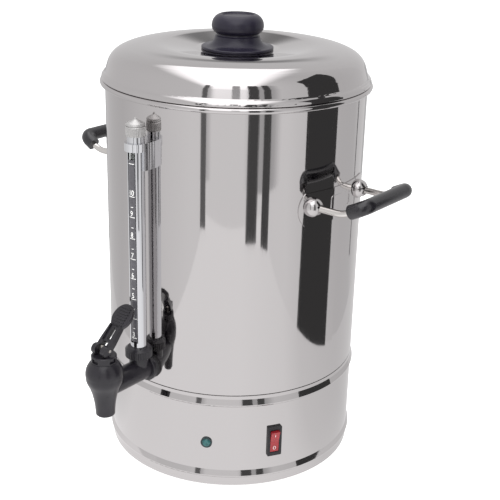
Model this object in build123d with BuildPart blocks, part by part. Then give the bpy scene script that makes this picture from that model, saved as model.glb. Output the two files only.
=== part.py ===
"""Ten litre hot water urn, in millimetres.

The origin is on the body's axis at the worktop, +Z is up, the tap points along -Y and the
two bail handles stand out along +X and -X.  Angles round the body start at the tap and grow
towards +X.
"""

import os
from math import cos, radians, sin, sqrt, tan

from build123d import *

os.makedirs("parts", exist_ok=True)

# ---------------------------------------------------------------- sizes of the whole urn
body_radius = 130.0  # outside of the tank and of the skirt
sheet = 0.9  # stainless sheet of tank, skirt, lid and base plate
skirt_lift = 3.0  # worktop to the skirt's lower edge
skirt_height = 102.0  # skirt's lower edge to the seam
tank_height = 287.0  # seam to the top of the rolled rim
rest_gap = 0.3  # between pieces that rest on each other and lift apart
slip = 0.05  # between pieces that are pushed or screwed together

seam_z = skirt_lift + skirt_height
rim_z = seam_z + tank_height
inner_radius = body_radius - sheet

# ---------------------------------------------------------------- skirt and base plate
bead_proud = 2.0
bead_slope_height = 5.6  # the straight slope from the wall out to the crest
bead_return_height = 2.8  # the round turn from the crest back to the wall
lower_crest_z = skirt_lift + 11.8
upper_crest_z = seam_z - 9.6
skirt_flange = 14.0  # turned in at the skirt's lower edge
plate_rise = 4.0  # middle of the base plate above its clamped edge
plate_radius = body_radius - 5.0
plate_step = body_radius - 18.0  # where the base plate starts to rise
foot_circle = body_radius - 32.0
foot_radius = 9.0
vent_circle = 80.0
vent_count = 12
plate_low_z = skirt_lift - slip - sheet  # underside of the clamped edge
plate_z = plate_low_z + plate_rise  # underside of the raised middle

# ---------------------------------------------------------------- tank
spigot_depth = 12.0  # part of the wall that stands inside the skirt
spigot_radius = inner_radius - 0.2
rim_bead_radius = 2.7
rim_bead_circle = inner_radius + 3.2
floor_drop = 5.6  # seam to the top of the floor
floor_sheet = 1.2
floor_flange = 6.0
floor_radius = spigot_radius - sheet - slip
floor_z = seam_z - floor_drop
floor_under_z = floor_z - floor_sheet

# ---------------------------------------------------------------- heater under the floor
tie_radius = 4.0  # the M8 stud that carries heater, skirt and base plate
spreader_radius = 62.0
spreader_thickness = 6.0
element_circle = 50.0
element_radius = 3.5
element_gap_deg = 30.0
element_leg = 20.0
clamp_thickness = 1.5
m8_nut_flats = 13.0
m8_nut_height = 6.5
tie_nut_height = 3.8
sensor_circle = 92.0
sensor_angles = (150.0, 210.0)  # thermostat, thermal cut-out
sensor_ear_pitch = 24.0
m3_radius = 1.5
m4_radius = 2.0

# ---------------------------------------------------------------- lid and knob
lid_gap_z = rim_z + rest_gap
lid_rim_radius = body_radius + 3.5
lid_rim_corner = 1.2  # lower edge of the rim
lid_rim_round = 4.7  # upper edge of the rim
lid_rim_slope_deg = 40.0  # how far the normal of the slope above the rim leans from vertical
lid_rim_slope_length = 1.5
lid_cove_radius = 3.0
lid_wall_deg = 73.0  # the same for the wall, then where the shoulder and the brow end
lid_wall_height = 8.0
lid_shoulder_radius = 19.5
lid_shoulder_deg = 28.0
lid_brow_radius = 40.0
lid_brow_deg = 13.0
lid_crown_radius = 118.0
lid_crest_round = 60.0  # inner side of the crest
lid_dish_deg = 8.0
lid_dish_fillet = 20.0
lid_dish_depth = 4.9
lid_plug_depth = 8.0
lid_plug_radius = inner_radius - 1.2
knob_flange_radius = 35.5
knob_neck_radius = 20.6
knob_bulb_radius = 25.5
knob_top_radius = 18.0
knob_height = 33.4
knob_screw_radius = 3.0

# ---------------------------------------------------------------- tap
tap_reach = 60.2  # wall to the axis of the spout
arm_z = seam_z + 17.5
arm_radius = 11.0
arm_bore = 5.5
flange_radius = 14.0
flange_thickness = 4.5
gasket_thickness = 2.0
shank_radius = 8.5
shank_length = 14.0  # inside the tank wall
locknut_flats = 25.0
locknut_height = 6.5
spout_radius = 9.3
spout_bore = 7.3
bulb_radius = 17.9
spout_z = arm_z - 28.8
bulb_z = arm_z + 12.5
shoulder_z = arm_z + 27.8
seat_z = arm_z - 9.5
chamber_radius = 11.5
bonnet_radius = 12.2
bonnet_height = 7.2
bonnet_thread = 9.0
bonnet_thread_radius = 10.5
boss_length = 22.0  # side boss of the tap body, from the spout's axis
stem_radius = 2.5
stem_lift = 3.6
spring_wire = 0.7
spring_radius = 5.6
spring_turns = 6
pivot_rise = 5.5  # lever pin above the bonnet
pin_radius = 1.5
lever_lean_deg = 46.0
lever_width = 17.0
lever_thickness = 6.0
lever_reach = 35.0  # pin to the middle of the thumb paddle
paddle_width = 23.0
paddle_length = 27.0
fork_gap = 6.6

tap_y = -(body_radius + tap_reach)
bonnet_top_z = shoulder_z + bonnet_height
pivot_z = bonnet_top_z + pivot_rise

# ---------------------------------------------------------------- sight gauge
gauge_standoff = 13.5  # wall to the gauge's axis
guard_radius = 8.0
guard_wall = 0.65
glass_radius = 6.9
glass_wall = 1.5
strip_thickness = 0.3
boss_radius = 9.6
boss_top = 23.5  # top of the gauge boss above the arm's axis
socket_depth = 10.5
gauge_nut_radius = 13.3
gauge_nut_height = 10.5
gauge_nut_z = arm_z + 16.0
gauge_seal = 2.0
window_low_z = arm_z + 32.5
window_high_z = rim_z - 46.2
window_deg = 40.0
strip_high_z = rim_z - 53.5
strip_from_deg = -27.0
strip_to_deg = 35.0
cap_radius = 9.25
cap_z = rim_z - 32.0
cap_height = 17.0
cap_grip = 9.0
bracket_half_width = 10.5
bracket_top_z = rim_z - 38.0
bracket_ring_height = 7.5
bracket_foot_height = 25.6
bracket_screw_pitch = 13.0

gauge_y = -(body_radius + gauge_standoff)
boss_top_z = arm_z + boss_top

# ---------------------------------------------------------------- bail handles
handle_z = rim_z - 97.3  # pivot line
handle_half_pitch = 38.6  # middle of the urn's side to each pivot
handle_pivot_x = body_radius - 0.1
plate_thickness = 1.0
handle_plate_height = 32.0
handle_plate_end = 14.4  # pivot to the end of the plate
handle_plate_half = handle_half_pitch + handle_plate_end
handle_plate_bulge = 6.8
dome_radius = 9.5
wire_radius = 3.25
ball_radius = 4.4
bail_leg = 29.0  # pivot to the crank in the leg
bail_reach = 51.2
bail_rise = 11.5
bail_crank_radius = 30.0
bail_corner_radius = 9.0
grip_radius = 7.0
grip_start = 9.5  # along the cranked leg

# ---------------------------------------------------------------- controls on the skirt
panel_z = skirt_lift + 48.6
lamp_angle = 28.9
lamp_bezel_radius = 5.8
lamp_barrel_radius = 4.9
lamp_lens_radius = 4.3
lamp_depth = 20.0
lamp_nut_radius = 7.5
switch_angle = 59.1
switch_width = 15.0
switch_height = 33.0
switch_bezel = 2.2
switch_body_width = 12.6
switch_body_height = 28.0
switch_depth = 22.0
rocker_width = 9.0
rocker_half = 11.7
rocker_tilt_deg = 8.0
inlet_angle = 180.0
inlet_width = 24.0
inlet_height = 50.0
inlet_flange = 3.0
inlet_body_width = 19.6
inlet_body_height = 27.6
inlet_depth = 22.0
inlet_cavity_width = 16.4
inlet_cavity_height = 24.6
inlet_cavity_depth = 16.0
inlet_screw_pitch = 40.0
panel_clearance = 0.2


def wall_plane(angle_deg, radius, height):
    """A plane that faces straight out of the body at an angle from the tap; its Y is up."""
    a = radians(angle_deg)
    return Plane(
        origin=(radius * sin(a), -radius * cos(a), height),
        x_dir=(cos(a), sin(a), 0),
        z_dir=(sin(a), -cos(a), 0),
    )


def polar(radius, angle_deg, height=0.0):
    """A point at an angle from the tap."""
    a = radians(angle_deg)
    return (radius * sin(a), -radius * cos(a), height)


def write(part, name):
    """Label a finished piece and write it as its own STEP file."""
    part.label = name
    export_step(part, f"parts/{name}.step")


# ================================================================ skirt and base
def skirt_side(radius):
    """One side of the skirt's section from the hem to the seam, with its two swaged beads."""
    start = (radius, skirt_lift)
    for crest_z in (lower_crest_z, upper_crest_z):
        low = (radius, crest_z - bead_return_height)
        crest = (radius + bead_proud, crest_z)
        high = (radius, crest_z + bead_slope_height)
        turn = (radius + 0.76 * bead_proud, crest_z - 0.55 * bead_return_height)
        Line(start, low)
        ThreePointArc(low, turn, crest)
        Line(crest, high)
        start = high
    Line(start, (radius, seam_z - rest_gap))


with BuildPart() as base_skirt:
    with BuildSketch(Plane.XZ):
        with BuildLine():
            skirt_side(body_radius)
            skirt_side(inner_radius)
            Line((inner_radius, skirt_lift), (body_radius, skirt_lift))
            Line((inner_radius, seam_z - rest_gap), (body_radius, seam_z - rest_gap))
        make_face()
        with Locations((body_radius - skirt_flange, skirt_lift)):
            Rectangle(skirt_flange - sheet / 2, sheet, align=(Align.MIN, Align.MIN))
    revolve(axis=Axis.Z)
    with BuildSketch(wall_plane(lamp_angle, body_radius - 6, panel_z)):
        Circle(lamp_barrel_radius + slip)
    extrude(amount=12, mode=Mode.SUBTRACT)
    with BuildSketch(wall_plane(switch_angle, body_radius - 6, panel_z)):
        Rectangle(switch_body_width + 2 * panel_clearance, switch_body_height + 2 * panel_clearance)
    extrude(amount=12, mode=Mode.SUBTRACT)
    with BuildSketch(wall_plane(inlet_angle, body_radius - 6, panel_z)):
        Rectangle(inlet_body_width + 2 * panel_clearance, inlet_body_height + 2 * panel_clearance)
        with Locations((0, inlet_screw_pitch / 2), (0, -inlet_screw_pitch / 2)):
            Circle(m3_radius + 2 * slip)
    extrude(amount=12, mode=Mode.SUBTRACT)
write(base_skirt.part, "base_skirt")

foot_angles = (45.0, 135.0, 225.0, 315.0)
foot_places = [polar(foot_circle, angle) for angle in foot_angles]
block_y = 45.0
block_length = 40.0
block_width = 20.0
block_height = 14.0
block_screw_pitch = 26.0
block_screw_places = [(-block_screw_pitch / 2, block_y), (block_screw_pitch / 2, block_y)]

with BuildPart() as base_plate:
    with BuildSketch(Plane.XZ):
        with BuildLine():
            Polyline(
                (0, plate_z),
                (plate_step - 2.7, plate_z),
                (plate_step, plate_low_z),
                (plate_radius, plate_low_z),
                (plate_radius, plate_low_z + sheet),
                (plate_step + 0.5, plate_low_z + sheet),
                (plate_step - 2.2, plate_z + sheet),
                (0, plate_z + sheet),
                close=True,
            )
        make_face()
    revolve(axis=Axis.Z)
    with BuildSketch(Plane.XY.offset(plate_z)):
        Circle(tie_radius + 2 * slip)
        with Locations(*[place[:2] for place in foot_places]):
            Circle(m4_radius + slip)
        with Locations(*block_screw_places):
            Circle(m3_radius + slip)
        with PolarLocations(vent_circle, vent_count):
            SlotOverall(26, 5)
    extrude(amount=sheet, mode=Mode.SUBTRACT)
write(base_plate.part, "base_plate")

foot_recess = 3.0
foot_head_radius = 3.8
with BuildPart() as rubber_feet:
    with Locations(*foot_places):
        Cylinder(foot_radius, plate_z, align=(Align.CENTER, Align.CENTER, Align.MIN))
    fillet(rubber_feet.faces().group_by(Axis.Z)[0].edges(), 1.2)
    with BuildSketch():
        with Locations(*[place[:2] for place in foot_places]):
            Circle(foot_head_radius + 0.4)
    extrude(amount=foot_recess, mode=Mode.SUBTRACT)
    with BuildSketch():
        with Locations(*[place[:2] for place in foot_places]):
            Circle(m4_radius + slip)
    extrude(amount=plate_z, mode=Mode.SUBTRACT)
write(rubber_feet.part, "rubber_feet")

foot_head = 2.2
foot_nut_height = 3.2
with BuildPart() as foot_screws:
    with BuildSketch(Plane.XY.offset(foot_recess - foot_head)):
        with Locations(*[place[:2] for place in foot_places]):
            Circle(foot_head_radius)
    extrude(amount=foot_head)
    with BuildSketch(Plane.XY.offset(foot_recess)):
        with Locations(*[place[:2] for place in foot_places]):
            Circle(m4_radius)
    extrude(amount=plate_z + sheet + foot_nut_height + 1 - foot_recess)
write(foot_screws.part, "foot_screws")

with BuildPart() as foot_nuts:
    with BuildSketch(Plane.XY.offset(plate_z + sheet)):
        with Locations(*[place[:2] for place in foot_places]):
            RegularPolygon(3.5, 6, major_radius=False)
            Circle(m4_radius + slip, mode=Mode.SUBTRACT)
    extrude(amount=foot_nut_height)
write(foot_nuts.part, "foot_nuts")

# ================================================================ tank
bracket_screw_heights = [
    bracket_top_z - 6.0 - i * bracket_screw_pitch for i in range(2)
]

with BuildPart() as tank_wall:
    with BuildSketch(Plane.XZ):
        with BuildLine():
            Polyline(
                (spigot_radius, seam_z - spigot_depth),
                (spigot_radius, seam_z),
                (body_radius - 0.4, seam_z),
                (body_radius, seam_z + 0.6),
                (body_radius, rim_z - rim_bead_radius),
                (inner_radius, rim_z - rim_bead_radius),
                (inner_radius, seam_z + sheet + 0.2),
                (spigot_radius - sheet, seam_z + 0.2),
                (spigot_radius - sheet, seam_z - spigot_depth),
                close=True,
            )
        make_face()
        with Locations((rim_bead_circle, rim_z - rim_bead_radius)):
            Circle(rim_bead_radius)
    revolve(axis=Axis.Z)
    with BuildSketch(wall_plane(0, body_radius - 8, arm_z)):
        Circle(shank_radius + slip)
    extrude(amount=16, mode=Mode.SUBTRACT)
    with BuildSketch(wall_plane(0, body_radius - 8, 0)):
        with Locations(*[(0, height) for height in bracket_screw_heights]):
            Circle(m4_radius + slip)
    extrude(amount=16, mode=Mode.SUBTRACT)
write(tank_wall.part, "tank_wall")

with BuildPart() as tank_floor:
    with BuildSketch(Plane.XZ):
        with BuildLine():
            Polyline(
                (0, floor_z),
                (floor_radius, floor_z),
                (floor_radius, floor_z - floor_flange),
                (floor_radius - floor_sheet, floor_z - floor_flange),
                (floor_radius - floor_sheet, floor_under_z),
                (0, floor_under_z),
                close=True,
            )
        make_face()
    revolve(axis=Axis.Z)
write(tank_floor.part, "tank_floor")

# ================================================================ heater
spreader_z = floor_under_z - spreader_thickness
clamp_top_z = spreader_z - element_radius - slip
clamp_z = clamp_top_z - clamp_thickness
element_ends = (180.0 - element_gap_deg / 2, 180.0 + element_gap_deg / 2)
element_end_places = [polar(element_circle, angle) for angle in element_ends]

with BuildPart() as heat_spreader:
    with BuildSketch(Plane.XY.offset(spreader_z)):
        Circle(spreader_radius)
        Circle(tie_radius + 2 * slip, mode=Mode.SUBTRACT)
    extrude(amount=spreader_thickness)
    with BuildSketch(Plane.XZ):
        with Locations((element_circle, spreader_z)):
            Circle(element_radius + slip)
    revolve(axis=Axis.Z, mode=Mode.SUBTRACT)
write(heat_spreader.part, "heat_spreader")

# radial plane through one end of the ring, so that the ring runs round to the other end
ring_start = Plane(
    origin=(0, 0, 0),
    x_dir=polar(1, element_ends[1]),
    z_dir=(-cos(radians(element_ends[1])), -sin(radians(element_ends[1])), 0),
)
with BuildPart() as heating_element:
    with BuildSketch(ring_start):
        with Locations((element_circle, spreader_z)):
            Circle(element_radius)
    revolve(axis=Axis.Z, revolution_arc=360 - element_gap_deg)
    for place in element_end_places:
        with Locations((place[0], place[1], spreader_z)):
            Sphere(element_radius)
            Cylinder(element_radius, element_leg, align=(Align.CENTER, Align.CENTER, Align.MAX))
        with Locations((place[0], place[1], spreader_z - element_leg)):
            Cylinder(1.6, 8, align=(Align.CENTER, Align.CENTER, Align.MAX))
write(heating_element.part, "heating_element")

with BuildPart() as element_clamp:
    with BuildSketch(Plane.XY.offset(clamp_z)):
        Circle(element_circle + element_radius + 3)
        Circle(tie_radius + 2 * slip, mode=Mode.SUBTRACT)
        with Locations(*[place[:2] for place in element_end_places]):
            Circle(element_radius + 1.5, mode=Mode.SUBTRACT)
    extrude(amount=clamp_thickness)
write(element_clamp.part, "element_clamp")

with BuildPart() as tie_stud:
    with BuildSketch(Plane.XY.offset(plate_z - tie_nut_height)):
        Circle(tie_radius)
    extrude(amount=floor_under_z - plate_z + tie_nut_height)
    chamfer(tie_stud.faces().sort_by(Axis.Z)[0].edges(), 0.8)
write(tie_stud.part, "tie_stud")

with BuildPart() as clamp_nut:
    with BuildSketch(Plane.XY.offset(clamp_z - m8_nut_height)):
        RegularPolygon(m8_nut_flats / 2, 6, major_radius=False)
        Circle(tie_radius + slip, mode=Mode.SUBTRACT)
    extrude(amount=m8_nut_height)
write(clamp_nut.part, "clamp_nut")

with BuildPart() as tie_nut:
    with BuildSketch(Plane.XY.offset(plate_z - tie_nut_height)):
        RegularPolygon(m8_nut_flats / 2, 6, major_radius=False)
        Circle(tie_radius + slip, mode=Mode.SUBTRACT)
    extrude(amount=tie_nut_height)
write(tie_nut.part, "tie_nut")

sensor_cap = 3.7  # metal cap that touches the floor
ear_thickness = 0.8
ear_z = floor_under_z - sensor_cap - ear_thickness
sensor_nut_height = 2.4


def sensor_ear_places(angle):
    """The two studs of one disc sensor, on the tangent through its middle."""
    centre = polar(sensor_circle, angle)
    along = (cos(radians(angle)), sin(radians(angle)))
    half = sensor_ear_pitch / 2
    return [(centre[0] + side * half * along[0], centre[1] + side * half * along[1]) for side in (-1, 1)]


for sensor_name, sensor_angle in zip(("thermostat", "thermal_cutout"), sensor_angles):
    with BuildPart() as sensor:
        with BuildSketch(Plane(origin=polar(sensor_circle, sensor_angle, ear_z),
                               x_dir=(cos(radians(sensor_angle)), sin(radians(sensor_angle)), 0))):
            SlotOverall(sensor_ear_pitch + 8, 8)
            with Locations((-sensor_ear_pitch / 2, 0), (sensor_ear_pitch / 2, 0)):
                Circle(m3_radius + slip, mode=Mode.SUBTRACT)
        extrude(amount=ear_thickness)
        with Locations(polar(sensor_circle, sensor_angle, ear_z)):
            Cylinder(7, sensor_cap + ear_thickness, align=(Align.CENTER, Align.CENTER, Align.MIN))
            Cylinder(8, 9, align=(Align.CENTER, Align.CENTER, Align.MAX))
        with BuildSketch(Plane(origin=polar(sensor_circle, sensor_angle, ear_z - 9),
                               x_dir=(cos(radians(sensor_angle)), sin(radians(sensor_angle)), 0))):
            with Locations((-4, 0), (4, 0)):
                Rectangle(0.8, 6.3)
        extrude(amount=-8)
    write(sensor.part, sensor_name)

sensor_stud_places = [place for angle in sensor_angles for place in sensor_ear_places(angle)]
with BuildPart() as sensor_studs:
    with BuildSketch(Plane.XY.offset(ear_z - sensor_nut_height - 1)):
        with Locations(*sensor_stud_places):
            Circle(m3_radius)
    extrude(amount=floor_under_z - ear_z + sensor_nut_height + 1)
write(sensor_studs.part, "sensor_studs")

with BuildPart() as sensor_nuts:
    with BuildSketch(Plane.XY.offset(ear_z - sensor_nut_height)):
        with Locations(*sensor_stud_places):
            RegularPolygon(2.75, 6, major_radius=False)
            Circle(m3_radius + slip, mode=Mode.SUBTRACT)
    extrude(amount=sensor_nut_height)
write(sensor_nuts.part, "sensor_nuts")

block_z = plate_z + sheet
with BuildPart() as terminal_block:
    with BuildSketch(Plane.XY.offset(block_z)):
        with Locations((0, block_y)):
            Rectangle(block_length, block_width)
    extrude(amount=block_height)
    chamfer(terminal_block.edges().filter_by(Axis.Z), 1)
    with BuildSketch(Plane.XZ.offset(-block_y - block_width / 2)):
        with GridLocations(13, 1, 3, 1):
            with Locations((0, block_z + 7)):
                Circle(2.2)
    extrude(amount=block_width, mode=Mode.SUBTRACT)
    with BuildSketch(Plane.XY.offset(block_z)):
        with Locations(*block_screw_places):
            Circle(m3_radius + slip)
    extrude(amount=block_height, mode=Mode.SUBTRACT)
write(terminal_block.part, "terminal_block")

with BuildPart() as block_screws:
    with BuildSketch(Plane.XY.offset(plate_z - 2)):
        with Locations(*block_screw_places):
            Circle(m3_radius)
    extrude(amount=block_height + sheet + 2)
    with BuildSketch(Plane.XY.offset(block_z + block_height)):
        with Locations(*block_screw_places):
            Circle(2.8)
    extrude(amount=2)
write(block_screws.part, "block_screws")

# ================================================================ lid
def leaning(centre, radius, tilt):
    """Point on a circle where its normal leans outward by this many degrees from straight up."""
    return (centre[0] + radius * sin(radians(tilt)), centre[1] + radius * cos(radians(tilt)))


# centres of the section's arcs, found one from the next from the rim up to the crest
rim_centre = (lid_rim_radius - lid_rim_round, lid_gap_z + lid_rim_corner)
rim_end = leaning(rim_centre, lid_rim_round, lid_rim_slope_deg)
slope_end = leaning(rim_end, -lid_rim_slope_length, lid_rim_slope_deg + 90)
cove_centre = leaning(slope_end, lid_cove_radius, lid_rim_slope_deg)
lid_foot = leaning(cove_centre, -lid_cove_radius, lid_wall_deg)
wall_slant = tan(radians(90 - lid_wall_deg))
wall_end = (lid_foot[0] - lid_wall_height * wall_slant, lid_foot[1] + lid_wall_height)
shoulder_centre = leaning(wall_end, -lid_shoulder_radius, lid_wall_deg)
brow_start = leaning(shoulder_centre, lid_shoulder_radius, lid_shoulder_deg)
brow_centre = leaning(brow_start, -lid_brow_radius, lid_shoulder_deg)
crown_start = leaning(brow_centre, lid_brow_radius, lid_brow_deg)
crown_centre = leaning(crown_start, -lid_crown_radius, lid_brow_deg)
crest_radius, crest_z = leaning(crown_centre, lid_crown_radius, 0)
crest_centre = (crest_radius, crest_z - lid_crest_round)
dish_z = crest_z - lid_dish_depth
dish_start = leaning(crest_centre, lid_crest_round, -lid_dish_deg)
dish_slope = tan(radians(lid_dish_deg))
fillet_end_z = dish_z + lid_dish_fillet * (1 - cos(radians(lid_dish_deg)))
fillet_radius = dish_start[0] - (dish_start[1] - fillet_end_z) / dish_slope
fillet_centre = (fillet_radius - lid_dish_fillet * sin(radians(lid_dish_deg)), dish_z + lid_dish_fillet)


def lid_arc(centre, radius, first, last):
    """Arc of the lid's section between two leans of its normal."""
    ThreePointArc(*(leaning(centre, radius, tilt) for tilt in (first, (first + last) / 2, last)))
    return leaning(centre, radius, first), leaning(centre, radius, last)


def lid_dome(inset):
    """One side of the section, from the rim's widest point up over the crest to the axis."""
    arcs = (
        lid_arc(rim_centre, lid_rim_round - inset, 90, lid_rim_slope_deg),
        lid_arc(cove_centre, -lid_cove_radius - inset, lid_rim_slope_deg, lid_wall_deg),
        lid_arc(shoulder_centre, lid_shoulder_radius - inset, lid_wall_deg, lid_shoulder_deg),
        lid_arc(brow_centre, lid_brow_radius - inset, lid_shoulder_deg, lid_brow_deg),
        lid_arc(crown_centre, lid_crown_radius - inset, lid_brow_deg, 0),
        lid_arc(crest_centre, lid_crest_round - inset, 0, -lid_dish_deg),
        lid_arc(fillet_centre, -lid_dish_fillet - inset, -lid_dish_deg, 0),
    )
    for before, after in ((0, 1), (1, 2), (5, 6)):
        Line(arcs[before][1], arcs[after][0])
    Line(arcs[6][1], (0, dish_z - inset))


with BuildPart() as lid_shell:
    with BuildSketch(Plane.XZ):
        with BuildLine():
            lid_dome(0)
            lid_dome(sheet)
            Line((0, dish_z), (0, dish_z - sheet))
            # rolled rim: down, back in over the tank's bead, and down as the plug
            RadiusArc(
                (lid_rim_radius, lid_gap_z + lid_rim_corner),
                (lid_rim_radius - lid_rim_corner, lid_gap_z),
                lid_rim_corner,
            )
            Polyline(
                (lid_rim_radius - lid_rim_corner, lid_gap_z),
                (lid_plug_radius, lid_gap_z),
                (lid_plug_radius, rim_z - lid_plug_depth),
                (lid_plug_radius - sheet, rim_z - lid_plug_depth),
                (lid_plug_radius - sheet, lid_gap_z + sheet),
                (lid_rim_radius - sheet, lid_gap_z + sheet),
                (lid_rim_radius - sheet, lid_gap_z + lid_rim_corner),
            )
        make_face()
    revolve(axis=Axis.Z)
    with BuildSketch(Plane.XY.offset(dish_z - sheet)):
        Circle(knob_screw_radius + 2 * slip)
    extrude(amount=sheet, mode=Mode.SUBTRACT)
write(lid_shell.part, "lid_shell")

knob_flange_height = 2.8
neck_z = dish_z + 12.8
bulb_z_knob = dish_z + 24.0
knob_top_z = dish_z + knob_height
with BuildPart() as lid_knob:
    with BuildSketch(Plane.XZ):
        with BuildLine():
            Polyline(
                (0, dish_z),
                (knob_flange_radius - 0.6, dish_z),
                (knob_flange_radius, dish_z + 0.6),
                (knob_flange_radius, dish_z + knob_flange_height - 0.6),
                (knob_flange_radius - 0.8, dish_z + knob_flange_height),
                (knob_flange_radius - 3.5, dish_z + knob_flange_height + 0.2),
            )
            # cove up to the neck, a step, the bulb, then the rim of the shallow top
            Spline(
                (knob_flange_radius - 3.5, dish_z + knob_flange_height + 0.2),
                (knob_neck_radius + 4.0, dish_z + knob_flange_height + 4.2),
                (knob_neck_radius + 1.6, neck_z),
                tangents=((-1, 0.1), (-0.15, 1)),
            )
            Polyline(
                (knob_neck_radius + 1.6, neck_z),
                (knob_neck_radius + 0.3, neck_z + 0.8),
                (knob_neck_radius, neck_z + 2.2),
            )
            ThreePointArc(
                (knob_neck_radius, neck_z + 2.2),
                (knob_neck_radius + 3.9, neck_z + 5.4),
                (knob_bulb_radius, bulb_z_knob),
            )
            ThreePointArc(
                (knob_bulb_radius, bulb_z_knob),
                (knob_bulb_radius - 2.3, bulb_z_knob + 5.8),
                (knob_top_radius + 1.0, knob_top_z - 0.4),
            )
            Polyline(
                (knob_top_radius + 1.0, knob_top_z - 0.4),
                (knob_top_radius, knob_top_z),
                (knob_top_radius - 1.2, knob_top_z),
                (knob_top_radius - 2.6, knob_top_z - 1.6),
                (0, knob_top_z - 1.6),
                (0, dish_z),
            )
        make_face()
    revolve(axis=Axis.Z)
    with BuildSketch(Plane.XY.offset(dish_z)):
        Circle(knob_screw_radius + slip)
    extrude(amount=18, mode=Mode.SUBTRACT)
write(lid_knob.part, "lid_knob")

knob_washer_thickness = 1.5
with BuildPart() as knob_washer:
    with BuildSketch(Plane.XY.offset(dish_z - sheet - knob_washer_thickness)):
        Circle(9)
        Circle(knob_screw_radius + 2 * slip, mode=Mode.SUBTRACT)
    extrude(amount=knob_washer_thickness)
write(knob_washer.part, "knob_washer")

knob_head_height = 3.0
knob_head_z = dish_z - sheet - knob_washer_thickness - knob_head_height
with BuildPart() as knob_screw:
    with BuildSketch(Plane.XY.offset(knob_head_z)):
        Circle(5.5)
    extrude(amount=knob_head_height)
    fillet(knob_screw.faces().sort_by(Axis.Z)[0].edges(), 1.2)
    with BuildSketch(Plane.XY.offset(knob_head_z + knob_head_height)):
        Circle(knob_screw_radius)
    extrude(amount=knob_washer_thickness + sheet + 16)
    with BuildSketch(Plane.XY.offset(knob_head_z)):
        Rectangle(7, 1.2)
        Rectangle(1.2, 7)
    extrude(amount=1.6, mode=Mode.SUBTRACT)
write(knob_screw.part, "knob_screw")

# ================================================================ tap arm and its fixing
flange_face_y = -(body_radius + gasket_thickness)
arm_end_y = tap_y + boss_length
spigot_length = 7.8
inner_gasket_y = -(inner_radius - 3.0)

with BuildPart() as tap_arm:
    with BuildSketch(Plane.XZ.offset(-flange_face_y)):
        with Locations((0, arm_z)):
            Circle(arm_radius)
    extrude(amount=flange_face_y - arm_end_y)
    with BuildSketch(Plane.XZ.offset(-flange_face_y)):
        with Locations((0, arm_z)):
            Circle(flange_radius)
    extrude(amount=flange_thickness)
    fillet(tap_arm.edges().filter_by(GeomType.CIRCLE).filter_by(
        lambda e: abs(e.radius - flange_radius) < 0.01), 1.0)
    with BuildSketch(Plane.XY.offset(arm_z)):
        with Locations((0, gauge_y)):
            Circle(boss_radius)
    extrude(amount=boss_top)
    with BuildSketch(Plane.XZ.offset(-arm_end_y)):
        with Locations((0, arm_z)):
            Circle(shank_radius)
    extrude(amount=spigot_length)
    with BuildSketch(Plane.XZ.offset(-flange_face_y)):
        with Locations((0, arm_z)):
            Circle(shank_radius)
    extrude(amount=-(shank_length + gasket_thickness))
    with BuildSketch(Plane.XZ.offset(-arm_end_y + spigot_length)):
        with Locations((0, arm_z)):
            Circle(arm_bore)
    extrude(amount=-(tap_reach + shank_length + 2), mode=Mode.SUBTRACT)
    with BuildSketch(Plane.XY.offset(boss_top_z)):
        with Locations((0, gauge_y)):
            Circle(glass_radius + 2 * slip)
    extrude(amount=-(socket_depth + gauge_seal), mode=Mode.SUBTRACT)
    with BuildSketch(Plane.XY.offset(arm_z)):
        with Locations((0, gauge_y)):
            Circle(glass_radius - glass_wall - 1)
    extrude(amount=boss_top, mode=Mode.SUBTRACT)
write(tap_arm.part, "tap_arm")

with BuildPart() as wall_gasket:
    with BuildSketch(Plane.XZ.offset(-flange_face_y)):
        with Locations((0, arm_z)):
            Circle(flange_radius - 0.5)
            Circle(shank_radius + slip, mode=Mode.SUBTRACT)
    extrude(amount=-(gasket_thickness + 4))
    with BuildSketch(Plane.XY.offset(arm_z - 2 * flange_radius)):
        Circle(body_radius + slip)
    extrude(amount=4 * flange_radius, mode=Mode.SUBTRACT)
write(wall_gasket.part, "wall_gasket")

with BuildPart() as inner_gasket:
    with BuildSketch(Plane.XZ.offset(-inner_gasket_y)):
        with Locations((0, arm_z)):
            Circle(12.5)
            Circle(shank_radius + slip, mode=Mode.SUBTRACT)
    extrude(amount=5)
    with BuildSketch(Plane.XY.offset(arm_z - 20)):
        Circle(inner_radius - slip)
    extrude(amount=40, mode=Mode.INTERSECT)
write(inner_gasket.part, "inner_gasket")

with BuildPart() as tap_locknut:
    with BuildSketch(Plane.XZ.offset(-inner_gasket_y)):
        with Locations((0, arm_z)):
            RegularPolygon(locknut_flats / 2, 6, major_radius=False)
            Circle(shank_radius + slip, mode=Mode.SUBTRACT)
    extrude(amount=-locknut_height)
write(tap_locknut.part, "tap_locknut")

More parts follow.
